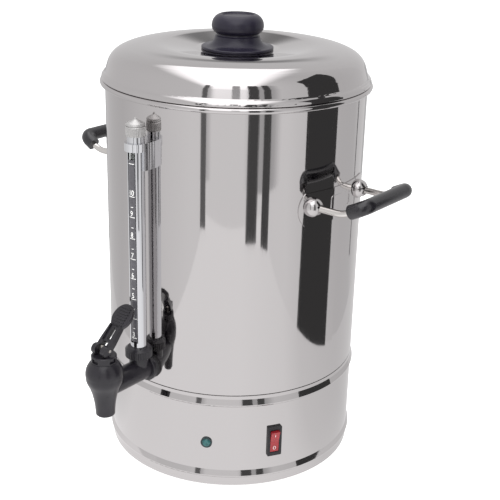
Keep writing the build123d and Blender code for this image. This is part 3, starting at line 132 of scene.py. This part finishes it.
def studio_card(name, corners, tone, fade=(0, 0, 0, 0)):
    """A flat card that shines with one tone, or with tones by azimuth, and shows only mirrored.

    The four fades are the shares of its width and depth over which it thins out at the sides
    of its outline: left, right, first and last.
    """
    mesh = bpy.data.meshes.new(name)
    mesh.from_pydata(corners, [], [tuple(range(len(corners)))])
    card = bpy.data.objects.new(name, mesh)
    scene.collection.objects.link(card)
    paint = bpy.data.materials.new(name)
    paint.use_nodes = True
    tree = paint.node_tree
    tree.nodes.clear()
    glow = add(tree, "Emission", {"Strength": 1.0})
    if isinstance(tone, list):
        spread = by_azimuth(tree, add(tree, "TexCoord").outputs["Object"], tone)
        tree.links.new(spread, glow.inputs["Color"])
    else:
        glow.inputs["Color"].default_value = (tone, tone * 0.99, tone, 1)
    surface = glow.outputs[0]
    if any(fade):
        layer = mesh.uv_layers.new(name="card")
        for loop, place in zip(layer.data, ((0, 0), (1, 0), (1, 1), (0, 1))):
            loop.uv = place
        across = add(tree, "SeparateXYZ", {}, {0: add(tree, "TexCoord").outputs["UV"]})
        solid = None
        for share, axis, edge in zip(fade, "XXYY", (0, 1, 0, 1)):
            if share:
                inner = share if edge == 0 else 1 - share
                ease = add(tree, "MapRange",
                           {"From Min": edge, "From Max": inner, "interpolation_type": "SMOOTHSTEP"},
                           {"Value": across.outputs[axis]}).outputs[0]
                if solid is not None:
                    ease = add(tree, "Math", {"operation": "MULTIPLY"}, {0: solid, 1: ease}).outputs[0]
                solid = ease
        clear = add(tree, "BsdfTransparent").outputs[0]
        surface = add(tree, "MixShader", {}, {0: solid, 1: clear, 2: surface}).outputs[0]
    add(tree, "OutputMaterial", {}, {"Surface": surface})
    mesh.materials.append(paint)
    card.visible_camera = False
    card.visible_diffuse = False
    card.visible_transmission = False
    card.visible_shadow = False
    card.visible_volume_scatter = False


def standing(name, a, b, height, tone, fade=(0, 0, 0, 0), base=-0.004):
    """A card that stands on the floor from ground point a to ground point b."""
    corners = [(a[0], a[1], base), (b[0], b[1], base), (b[0], b[1], height), (a[0], a[1], height)]
    studio_card(name, corners, tone, fade)


# standing cards: their two ends on the floor and their height, in metres, and their tone; the
# hung one starts above the floor
standing("card_front", (0.178, -0.886), (0.248, -0.858), 1.02, 0.16, fade=(0.15, 0.08, 0, 0))
standing("card_side_a", (0.619, -0.556), (0.700, -0.452), 1.02, 0.085, fade=(0.12, 0.04, 0, 0))
standing("card_side_b", (0.712, -0.400), (0.731, -0.310), 1.02, 0.085, fade=(0.04, 0.12, 0, 0))
standing("card_hung", (0.477, -0.679), (0.559, -0.614), 1.0, 0.50, fade=(0.1, 0.1, 0, 0), base=0.66)
standing("shade_front", (0.195, -1.16), (0.415, -1.105), 1.3, 0.60, fade=(0.4, 0.5, 0, 0.1))
standing("shade_side", (0.80, -0.80), (1.13, -0.26), 1.3, 0.52, fade=(0.3, 0.3, 0, 0.1))
# the widest one stands at the right, and leans out at the far side of its top
foot_a, foot_b = Vector((0.486, 0.023, -0.004)), Vector((0.331, 0.205, -0.004))
outline = [(0, 0), (1, 0), (1, 0.5), (1.6, 0.86), (0.1, 0.79)]  # share from foot to foot, rise
wide_corners = [tuple(foot_a.lerp(foot_b, share) + Vector((0, 0, rise))) for share, rise in outline]
studio_card("card_wide", wide_corners, 0.052)
standing("card_slim", (0.212, 0.617), (0.197, 0.621), 0.35, 0.10)
standing("card_back_left", (-0.62, 0.22), (-0.50, 0.36), 0.36, 0.50)
standing("card_back", (-0.20, 0.86), (-0.08, 0.88), 0.38, 0.50)

# pale table top, squared to the camera
ahead = Vector((math.sin(facing), -math.cos(facing), 0))


def squared(*corners):
    """Points from their distances to the right, towards the camera and up."""
    return [tuple(level * across + ahead * forward + Vector((0, 0, z))) for across, forward, z in corners]


table_left, table_right, table_back, table_front, table_z = -0.378, 0.395, -0.5, 0.905, -0.003
table_tones = [(-180, 0.74), (-95, 0.74), (-70, 0.76), (-40, 1.03), (0, 1.06),
               (45, 1.06), (80, 0.98), (95, 0.86), (135, 0.75), (180, 0.74)]
studio_card("table_top", squared((table_left, table_back, table_z), (table_right, table_back, table_z),
                                 (table_right, table_front, table_z),
                                 (table_left, table_front, table_z)), table_tones)
# the room's floor beyond the table
room_reach, room_z = 4, -0.006
floor_tones = [(-180, 0.75), (-120, 0.66), (-72, 0.65), (-50, 0.74), (-17, 0.86), (3, 0.92), (36, 0.92),
               (82, 0.92), (96, 0.84), (138, 0.67), (160, 0.64), (172, 0.73), (180, 0.75)]
studio_card("room_floor", squared((-room_reach, -room_reach, room_z), (room_reach, -room_reach, room_z),
                                  (room_reach, room_reach, room_z),
                                  (-room_reach, room_reach, room_z)), floor_tones)
# softbox overhead, widest past the camera, where it thins out
box_back, box_front, box_z = -0.66, 2.9, 1.10
studio_card("softbox", squared((-0.9, box_front, box_z), (0.6, box_front, box_z),
                               (0.30, box_back, box_z), (-0.46, box_back, box_z)),
            1.9, fade=(0.35, 0.15, 0.6, 0.02))
# the dark end of the room behind the urn, with soft edges
band_half, band_away, band_low, band_high = 0.74, -3.0, 1.27, 1.95
studio_card("wall_band", squared((-band_half, band_away, band_low), (band_half, band_away, band_low),
                                 (band_half, band_away, band_high), (-band_half, band_away, band_high)),
            0.24, fade=(0.5, 0.5, 0.5, 0.4))

# white floor that keeps the soft shadow and shows as plain white round it
floor_mesh = bpy.data.meshes.new("floor")
floor_reach = 6
floor_corners = [(-floor_reach, -floor_reach, 0), (floor_reach, -floor_reach, 0),
                 (floor_reach, floor_reach, 0), (-floor_reach, floor_reach, 0)]
floor_mesh.from_pydata(floor_corners, [], [(0, 1, 2, 3)])
floor = bpy.data.objects.new("floor", floor_mesh)
scene.collection.objects.link(floor)
floor_paint = bpy.data.materials.new("white floor")
floor_paint.use_nodes = True
tree = floor_paint.node_tree
tree.nodes.clear()
white = add(tree, "BsdfDiffuse", {"Color": linear("#f4f4f4")})
clean = add(tree, "Emission", {"Color": (1, 1, 1, 1), "Strength": 0.75})
both = add(tree, "AddShader", {}, {0: white.outputs[0], 1: clean.outputs[0]})
add(tree, "OutputMaterial", {}, {"Surface": both.outputs[0]})
floor_mesh.materials.append(floor_paint)
floor.visible_glossy = False

# soft lights for everything that isn't polished, all aimed at the middle of the urn
aim = Vector((0, 0, 0.2))
for name, place, size, power in (("key light", (0.9, -1.3, 1.9), 1.4, 24),
                                 ("side light", (-1.5, -0.7, 1.3), 1.2, 11),
                                 ("top light", (0.1, 0.2, 2.2), 1.6, 12)):
    lamp = bpy.data.lights.new(name, "AREA")
    lamp.size = size
    lamp.energy = power
    holder = bpy.data.objects.new(name, lamp)
    holder.location = place
    holder.rotation_euler = (aim - Vector(place)).to_track_quat("-Z", "Y").to_euler()
    holder.visible_camera = False
    holder.visible_glossy = False
    scene.collection.objects.link(holder)

# ---------------------------------------------------------------- tank, skirt and lid
# Rolled and spun from 0.9 mm stainless sheet and polished to a mirror. The beads are rolled in,
# and the lid is spun over a former. The handle plates are pressed from 1 mm sheet.


def inputs_of(paint):
    """The sockets of a material's plain shader."""
    return paint.node_tree.nodes["Principled BSDF"].inputs


def finish(name, colour, **sockets):
    """A material with a plain shader in this colour; sockets are set by name, with _ for a space."""
    paint = bpy.data.materials.new(name)
    paint.use_nodes = True
    inputs = inputs_of(paint)
    inputs["Base Color"].default_value = linear(colour)
    for socket, value in sockets.items():
        inputs[socket.replace("_", " ")].default_value = value
    return paint


def noise(paint, scale, detail, stretch=None):
    """A cloudy pattern that is fixed to the pieces; stretch scales it along x, y and z first."""
    tree = paint.node_tree
    place = add(tree, "TexCoord").outputs["Object"]
    if stretch:
        place = add(tree, "Mapping", {"Scale": stretch}, {"Vector": place}).outputs[0]
    return add(tree, "TexNoise", {"Scale": scale, "Detail": detail}, {"Vector": place}).outputs["Fac"]


def vary_gloss(paint, pattern, low, high, span=(0, 1)):
    """Roughness from low to high as the pattern goes across span."""
    settings = {"From Min": span[0], "From Max": span[1], "To Min": low, "To Max": high}
    rough = add(paint.node_tree, "MapRange", settings, {"Value": pattern})
    paint.node_tree.links.new(rough.outputs[0], inputs_of(paint)["Roughness"])


def vary_tint(paint, pattern, first, last, span=(0, 1)):
    """Colour from first to last as the pattern goes across span."""
    tint = add(paint.node_tree, "ValToRGB", {}, {"Fac": pattern})
    for element, position, colour in zip(tint.color_ramp.elements, span, (first, last)):
        element.position = position
        element.color = linear(colour)
    paint.node_tree.links.new(tint.outputs[0], inputs_of(paint)["Base Color"])


def relief(paint, pattern, strength, distance):
    """A bump from the pattern, on top of any that the material has already."""
    normal = inputs_of(paint)["Normal"]
    below = {"Normal": normal.links[0].from_socket} if normal.is_linked else {}
    bump = add(paint.node_tree, "Bump", {"Strength": strength, "Distance": distance},
               {"Height": pattern, **below})
    paint.node_tree.links.new(bump.outputs[0], normal)


def dress(paint, *names):
    """Gives these CAD nodes this material."""
    for name in names:
        mesh = nodes[name].data
        mesh.materials.clear()
        mesh.materials.append(paint)


# mirror-polished stainless steel: sharp, slightly wavy reflections with fine upright polishing lines
bright_steel = finish("mirror-polished stainless steel", "#c9c6c6", Metallic=1.0)
relief(bright_steel, noise(bright_steel, 1.0, 1.0, (9, 9, 4)), 1.0, 0.00022)
lines = noise(bright_steel, 1.0, 2.0, (1400, 1400, 12))
relief(bright_steel, lines, 0.02, 0.0002)
vary_gloss(bright_steel, lines, 0.03, 0.07, span=(0.3, 0.7))
dress(bright_steel, "lid_shell", "handle_plate_right", "handle_plate_left")

# the tank and the skirt are polished on their outer side only: inside, the sheet keeps the dull
# rolled finish that spreads what it mirrors
tank_steel = bright_steel.copy()
tank_steel.name = "stainless steel polished on one side"
dull_within, bright_beyond, inside_roughness = 0.1293, 0.1297, 0.45
tree = tank_steel.node_tree
roughness = inputs_of(tank_steel)["Roughness"]
mirror_gloss = roughness.links[0].from_socket
place = add(tree, "TexCoord").outputs["Object"]
flattened = add(tree, "Mapping", {"Scale": (1, 1, 0)}, {"Vector": place})
reach = add(tree, "VectorMath", {"operation": "LENGTH"}, {0: flattened.outputs[0]})
inner = add(tree, "MapRange",
            {"From Min": dull_within, "From Max": bright_beyond,
             "To Min": inside_roughness, "To Max": 0.0}, {"Value": reach.outputs["Value"]})
dulled = add(tree, "Math", {"operation": "MAXIMUM"}, {0: inner.outputs[0], 1: mirror_gloss})
tree.links.new(dulled.outputs[0], roughness)
dress(tank_steel, "tank_wall", "base_skirt")

# ---------------------------------------------------------------- floor and base plate
# The tank's floor, the plate under the base and the disc that clamps the heater are plain mill
# sheet. They are left unpolished, as none of them shows while the lid is on.

# mill-finish stainless steel: dull grey sheen with the rolling direction showing
mill_steel = finish("mill-finish stainless steel", "#a5a29e", Metallic=1.0)
grain = noise(mill_steel, 1.0, 4.0, (40, 900, 40))
vary_gloss(mill_steel, grain, 0.28, 0.46)
relief(mill_steel, grain, 0.15, 0.0002)
dress(mill_steel, "tank_floor", "base_plate", "element_clamp")

# ---------------------------------------------------------------- screws, nuts and washers
# Steel, cold headed and thread rolled, with a bright zinc plating that clouds a little. They
# hold the base, its feet, the heater and controls, the inlet, the gauge's bracket and the knob.

# bright zinc plating: bluish grey, half glossy, with cloudy patches a few millimetres across
zinc = finish("bright zinc plating", "#b4b8bd", Metallic=1.0)
clouds = noise(zinc, 350.0, 3.0)
vary_gloss(zinc, clouds, 0.22, 0.42)
vary_tint(zinc, clouds, "#a3a8b0", "#c6c8ca")
dress(zinc, "foot_screws", "foot_nuts", "tie_stud", "tie_nut", "clamp_nut", "sensor_studs", "sensor_nuts",
      "block_screws", "bracket_screws", "bracket_washers", "inlet_screws", "inlet_nuts", "knob_screw",
      "knob_washer")

# ---------------------------------------------------------------- heater and controls under the floor
# A ring heater in a steel sheath lies in the groove of a cast aluminium spreader, which a clamp
# presses up to the floor. A thermostat and a thermal cut-out are beside it, and a terminal block
# is on the base plate.

# cast aluminium: pale, dull, with a pebbled skin about 1 mm across
cast_aluminium = finish("sand-cast aluminium", "#b9bbbc", Metallic=1.0)
sand = noise(cast_aluminium, 900.0, 3.0)
relief(cast_aluminium, sand, 0.35, 0.0004)
vary_gloss(cast_aluminium, sand, 0.38, 0.6)
dress(cast_aluminium, "heat_spreader")

# annealed heater sheath: steel darkened by heat, straw and brown in patches
sheath = finish("annealed heater sheath", "#6b635b", Metallic=1.0)
scale_patches = noise(sheath, 60.0, 4.0)
vary_tint(sheath, scale_patches, "#4d4641", "#8b7a66", span=(0.35, 0.65))
vary_gloss(sheath, scale_patches, 0.3, 0.5)
dress(sheath, "heating_element")

# thermoset body: dark brown, pressed powder, faint speckle
thermoset = finish("pressed thermoset", "#3a2a22", Roughness=0.45)
speckle = noise(thermoset, 1600.0, 2.0)
vary_tint(thermoset, speckle, "#2e211b", "#4c392f")
dress(thermoset, "thermostat", "thermal_cutout")

# natural nylon: milky, slightly see-through skin with a fine moulded grain
nylon = finish("natural moulded nylon", "#e4dfd2", Roughness=0.42, Subsurface_Weight=0.15,
               Subsurface_Radius=(0.004, 0.0035, 0.003))
skin = noise(nylon, 700.0, 2.0)
relief(nylon, skin, 0.1, 0.0002)
dress(nylon, "terminal_block")

# stamped brass: yellow, its gloss uneven in specks under 1 mm
brass = finish("stamped brass", "#c9a55c", Metallic=1.0)
specks = noise(brass, 1200.0, 2.0)
vary_gloss(brass, specks, 0.2, 0.38)
dress(brass, "switch_tabs", "inlet_pins")

# ---------------------------------------------------------------- feet and gasket
# Four moulded rubber feet, screwed through the base plate, and the gasket of the same black
# rubber that the tap's flange presses on the tank.

# moulded rubber: near black, dull, with a faint bloom
rubber = finish("moulded black rubber", "#242325", Roughness=0.75)
bloom = noise(rubber, 220.0, 4.0)
vary_tint(rubber, bloom, "#1e1d1f", "#333235")
dress(rubber, "rubber_feet", "wall_gasket")

# ---------------------------------------------------------------- seals
# Moulded silicone: the ring that the tap's locknut presses on the inside of the tank, the two
# rings round the ends of the gauge glass, and the cup that closes the valve.

# silicone rubber: warm translucent grey, satin
silicone = finish("moulded silicone", "#b7aea4", Roughness=0.5, Subsurface_Weight=0.2,
                  Subsurface_Radius=(0.003, 0.002, 0.0015))
skin = noise(silicone, 500.0, 2.0)
vary_gloss(silicone, skin, 0.42, 0.62)
dress(silicone, "inner_gasket", "gauge_seal_ring", "cap_seal_ring", "seat_cup")

# ---------------------------------------------------------------- tap
# Arm, body, bonnet and lever are moulded in black heat-resistant nylon. Inside, a sprung steel
# stem holds a silicone cup down on its seat.

# black glass-filled nylon: near black, satin, with a fine moulded grain and slight mottling
tap_nylon = finish("black moulded nylon", "#1d1b20", Specular_IOR_Level=0.4, Coat_Weight=0.2,
                   Coat_Roughness=0.12)
mottle = noise(tap_nylon, 90.0, 5.0)
vary_tint(tap_nylon, mottle, "#18161b", "#26242a")
grain = noise(tap_nylon, 1500.0, 2.0)
relief(tap_nylon, grain, 0.12, 0.0003)
vary_gloss(tap_nylon, mottle, 0.24, 0.36)
dress(tap_nylon, "tap_arm", "tap_body", "tap_bonnet", "tap_lever", "gauge_nut", "tap_locknut")

# turned stainless steel: bright, with turning rings 0.4 mm apart
turned_steel = finish("turned stainless steel", "#bdb9b4", Metallic=1.0, Roughness=0.2)
tree = turned_steel.node_tree
rings = add(tree, "TexWave", {"Scale": 800.0, "bands_direction": "Z"},
            {"Vector": add(tree, "TexCoord").outputs["Object"]})
relief(turned_steel, rings.outputs["Fac"], 0.08, 0.0002)
dress(turned_steel, "tap_stem", "lever_pin")


def tube(name, path, radius, closed, paint):
    """A round wire or bead of this radius along a path of points."""
    shape = bmesh.new()
    sides = 10
    rings = []
    side = None
    for i, point in enumerate(path):
        before = path[i - 1] if i or closed else point
        after = path[(i + 1) % len(path)] if i < len(path) - 1 or closed else point
        along = (after - before).normalized()
        side = along.orthogonal() if side is None else side - along * side.dot(along)
        side.normalize()
        over = along.cross(side)
        turns = [2 * math.pi * k / sides for k in range(sides)]
        rings.append([shape.verts.new(point + (side * math.cos(t) + over * math.sin(t)) * radius)
                      for t in turns])
    for ring, following in zip(rings, rings[1:] + (rings[:1] if closed else [])):
        for k in range(sides):
            shape.faces.new((ring[k - 1], ring[k], following[k], following[k - 1]))
    if not closed:
        shape.faces.new(rings[0])
        shape.faces.new(rings[-1])
    bmesh.ops.recalc_face_normals(shape, faces=shape.faces)
    for face in shape.faces:
        face.smooth = True
    mesh = bpy.data.meshes.new(name)
    shape.to_mesh(mesh)
    shape.free()
    mesh.materials.append(paint)
    piece = bpy.data.objects.new(name, mesh)
    scene.collection.objects.link(piece)
    return piece


# the coil: six turns of 1.4 mm wire that lie closer at both ends
tap_axis_y = -0.1902
coil_low, coil_high, coil_radius, wire_radius = 0.12231, 0.15299, 0.0056, 0.0007
coil_turns, coil_steps, end_climb = 6, 36, 0.15
climbs = [min(1.0, end_climb + (1 - end_climb) * min(i, coil_turns * coil_steps - i) / coil_steps)
          for i in range(coil_turns * coil_steps + 1)]
coil_path = []
for i in range(len(climbs)):
    swing = 2 * math.pi * i / coil_steps
    share = sum(climbs[:i]) / sum(climbs[:-1])
    coil_path.append(Vector((coil_radius * math.cos(swing), tap_axis_y + coil_radius * math.sin(swing),
                             coil_low + (coil_high - coil_low) * share)))
coil = tube("valve_coil", coil_path, wire_radius, False, turned_steel)
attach(coil, "body")
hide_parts("tap_spring")
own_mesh(coil)

# ---------------------------------------------------------------- sight gauge
# A glass tube in a chromed guard with a long window, screwed to the tap's arm below and held by
# a bracket above. A film strip on the front of the glass carries the litre marks.

# chromed brass: cooler and brighter than the steel, very sharp
chrome = finish("chrome plating", "#d6d7da", Metallic=1.0)
haze = noise(chrome, 40.0, 3.0)
vary_gloss(chrome, haze, 0.02, 0.06)
dress(chrome, "gauge_guard")

# the same plating on a bent strip bracket: drawn a little uneven, so what it mirrors breaks into
# upright streaks about 2 mm wide
bracket_chrome = finish("chrome plating on drawn strip", "#e2e3e6", Metallic=1.0, Roughness=0.05)
streaks = noise(bracket_chrome, 1.0, 1.0, (450, 450, 5))
relief(bracket_chrome, streaks, 1.0, 0.0005)
dress(bracket_chrome, "gauge_bracket")

# satin nickel on the gauge's cap: pale and soft, without clear reflections
nickel = finish("satin nickel plating", "#d2d1d0", Metallic=1.0)
haze = noise(nickel, 600.0, 3.0)
vary_gloss(nickel, haze, 0.4, 0.54)
dress(nickel, "gauge_cap")

# borosilicate tube: clear, faintly green at its edges
glass = finish("borosilicate glass", "#f4f8f6", Roughness=0.02, IOR=1.47, Transmission_Weight=1.0)
drawn = noise(glass, 1.0, 1.0, (300, 300, 6))
relief(glass, drawn, 0.02, 0.0002)
dress(glass, "gauge_glass")

# printed film: charcoal, glossy
film = finish("printed polyester film", "#4a494e", Roughness=0.3, Coat_Weight=0.3, Coat_Roughness=0.08)
print_grain = noise(film, 260.0, 3.0)
vary_tint(film, print_grain, "#434247", "#5a595e")
dress(film, "scale_strip")

# white ink of the litre marks: lines and plain numbers, wrapped on the strip's own curve
ink = finish("white screen ink", "#f0f0ee", Roughness=0.5)
dots = noise(ink, 1500.0, 1.0)
vary_tint(ink, dots, "#dcdcda", "#f6f6f4")

gauge_axis_y = -0.1435
strip_face = 0.00728
strip_middle = math.radians(4)
line_from, line_to, line_width = -0.0030, 0.0034, 0.0007
half_from, half_to, half_below = -0.0008, 0.0018, 0.0102
number_size, number_squeeze, number_above, number_swell = 0.0072, 0.8, 0.0016, 0.00012
longest_edge = 0.0006
top_line_z = 0.3347
marks = bmesh.new()


def on_strip(across, z):
    """A point of the strip's front, from its distance across the strip and its height."""
    angle = strip_middle + across / strip_face
    return Vector((strip_face * math.sin(angle), gauge_axis_y - strip_face * math.cos(angle), z))


def ink_line(low, high, z):
    """A bar across the strip at this height."""
    steps = 8
    for i in range(steps):
        a = low + (high - low) * i / steps
        b = low + (high - low) * (i + 1) / steps
        top = z + line_width
        corners = [on_strip(a, z), on_strip(b, z), on_strip(b, top), on_strip(a, top)]
        marks.faces.new([marks.verts.new(corner) for corner in corners])


litre_heights = {10: 0.3034, 9: 0.2833, 8: 0.2622, 7: 0.2417,
                 6: 0.2218, 5: 0.2006, 4: 0.1802, 3: 0.1598}
for litres, z in litre_heights.items():
    ink_line(line_from, line_to, z)
    if litres > min(litre_heights):
        ink_line(half_from, half_to, z - half_below)
    letters = bpy.data.curves.new("number", "FONT")
    letters.body = str(litres)
    letters.size = number_size
    letters.align_x = "CENTER"
    letters.offset = number_swell
    shape = bpy.data.objects.new("number", letters)
    scene.collection.objects.link(shape)
    bpy.context.view_layer.update()
    flat = shape.evaluated_get(bpy.context.evaluated_depsgraph_get()).to_mesh()
    number = bmesh.new()
    number.from_mesh(flat)
    long_edges = [edge for edge in number.edges if edge.calc_length() > longest_edge]
    bmesh.ops.subdivide_edges(number, edges=long_edges, cuts=2)
    places = {v: marks.verts.new(on_strip(v.co.x * number_squeeze, z + number_above + v.co.y))
              for v in number.verts}
    for face in number.faces:
        marks.faces.new([places[v] for v in face.verts])
    number.free()
    shape.to_mesh_clear()
    bpy.data.objects.remove(shape)
ink_line(line_from, line_to, top_line_z)
marks_mesh = bpy.data.meshes.new("litre_marks")
marks.to_mesh(marks_mesh)
marks.free()
marks_mesh.materials.append(ink)
litre_marks = bpy.data.objects.new("litre_marks", marks_mesh)
scene.collection.objects.link(litre_marks)
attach(litre_marks, "body")

# ---------------------------------------------------------------- handles
# Each handle is bent from nickel-plated wire and swings in two pressed domes. A thick grip is
# moulded over the middle of the wire.

# nickel-plated wire: bright and warm, its gloss uneven in patches about 4 mm across
wire = finish("nickel-plated wire", "#dfdcd9", Metallic=1.0)
patches = noise(wire, 250.0, 3.0)
vary_gloss(wire, patches, 0.08, 0.16)
dress(wire, "bail_right", "bail_left")

# black moulded grip: glossier than the tap, with long soft highlights
grip_plastic = finish("black moulded grip plastic", "#16141a", Coat_Weight=0.4, Coat_Roughness=0.16)
flow = noise(grip_plastic, 60.0, 4.0)
vary_gloss(grip_plastic, flow, 0.2, 0.3)
vary_tint(grip_plastic, flow, "#121115", "#1e1d22")
dress(grip_plastic, "grip_right", "grip_left")

# a rounded rectangle pressed into each handle plate between its domes, to stiffen it
plate_face, panel_half, panel_corner, panel_bead = 0.13105, 0.0150, 0.003, 0.0006
panel_low, panel_high, corner_steps = 0.2860, 0.3005, 6
for name, flank in (("plate_panel_right", 1), ("plate_panel_left", -1)):
    border = []
    for quarter, (y, z) in enumerate(((panel_half, panel_high), (-panel_half, panel_high),
                                      (-panel_half, panel_low), (panel_half, panel_low))):
        centre_y = y - math.copysign(panel_corner, y)
        centre_z = panel_high - panel_corner if z == panel_high else panel_low + panel_corner
        for step in range(corner_steps + 1):
            bend = math.pi / 2 * (quarter + step / corner_steps)
            y_here = centre_y + panel_corner * math.cos(bend)
            border.append(Vector((flank * math.sqrt(plate_face ** 2 - y_here ** 2), y_here,
                                  centre_z + panel_corner * math.sin(bend))))
    panel = tube(name, border, panel_bead, True, bright_steel)
    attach(panel, "body")

# ---------------------------------------------------------------- lid knob
# Pressed hot from black phenolic powder in one piece, which stays cool enough to hold. A screw
# with a washer holds it from under the lid.

# pressed phenolic: violet-black, satin all over, with a slight cloudiness from the powder
phenolic = finish("black moulded phenolic", "#211e2b", Specular_IOR_Level=0.4)
powder = noise(phenolic, 120.0, 4.0)
vary_gloss(phenolic, powder, 0.28, 0.38)
vary_tint(phenolic, powder, "#1c1a26", "#272432")
dress(phenolic, "lid_knob")

# ---------------------------------------------------------------- lamp and switch
# A round teal lamp lens in a dark bezel, which a nut holds from inside, and a rocker switch in a
# black frame, which snaps into the front of the skirt.

# tinted acrylic lens: deep teal and glossy, with facets about 1.4 mm across that break the light
lens = finish("tinted acrylic", "#2a6666", Roughness=0.16, Coat_Weight=0.3, Coat_Roughness=0.05)
tree = lens.node_tree
facets = add(tree, "TexVoronoi", {"Scale": 700.0}, {"Vector": add(tree, "TexCoord").outputs["Object"]})
relief(lens, facets.outputs["Distance"], 0.5, 0.0006)
vary_tint(lens, facets.outputs["Distance"], "#2f6d6c", "#123f42")
dress(lens, "lamp_lens")

# moulded polyamide of the switch's housing, the lamp's nut and the inlet: black, satin
switch_plastic = finish("black moulded polyamide", "#201f22", Specular_IOR_Level=0.4)
skin = noise(switch_plastic, 900.0, 3.0)
vary_gloss(switch_plastic, skin, 0.3, 0.45)
dress(switch_plastic, "switch_body", "lamp_nut", "inlet_socket")

# smoked bezel round the lens: dark bottle green, glossy
bezel = finish("smoked moulded acrylic", "#14292c", Coat_Weight=0.2, Coat_Roughness=0.05)
skin = noise(bezel, 600.0, 2.0)
vary_gloss(bezel, skin, 0.18, 0.3)
dress(bezel, "lamp_body")

# red polycarbonate rocker: deep red with a soft gloss, slightly uneven
rocker = finish("red moulded polycarbonate", "#8f2129", Roughness=0.25, Coat_Weight=0.2,
                Coat_Roughness=0.1)
flow = noise(rocker, 200.0, 3.0)
vary_tint(rocker, flow, "#841d25", "#a02b31")
dress(rocker, "switch_rocker")

# O and I, raised a hair and filled with white ink, on the two wings of the rocker
rocker_azimuth, rocker_lean = math.radians(59.1), math.radians(8)
rocker_z, rocker_wing, wing_rise = 0.0516, 0.0117, 0.0013
skirt_radius, rocker_rise, sign_bead = 0.130, 0.0022, 0.00024
outward = Vector((math.sin(rocker_azimuth), -math.cos(rocker_azimuth), 0))
sideways = Vector((math.cos(rocker_azimuth), math.sin(rocker_azimuth), 0))
upward = Vector((0, 0, 1))


def on_rocker(across, along):
    """A point of the rocker's face, from its distances off the middle."""
    out = rocker_rise + wing_rise * abs(along) / rocker_wing
    height = along * math.cos(rocker_lean) - out * math.sin(rocker_lean)
    depth = along * math.sin(rocker_lean) + out * math.cos(rocker_lean)
    return outward * (skirt_radius + depth) + sideways * across + upward * (rocker_z + height)


circle_width, circle_height, circle_along = 0.0013, 0.0017, -0.0074
stroke_from, stroke_length = 0.0058, 0.0032
circle = [on_rocker(circle_width * math.cos(math.pi * k / 12),
                    circle_along + circle_height * math.sin(math.pi * k / 12)) for k in range(24)]
stroke = [on_rocker(0, stroke_from + stroke_length * k / 4) for k in range(5)]
for name, path, closed in (("off_sign", circle, True), ("on_sign", stroke, False)):
    sign = tube(name, path, sign_bead, closed, ink)
    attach(sign, "switch_rocker")
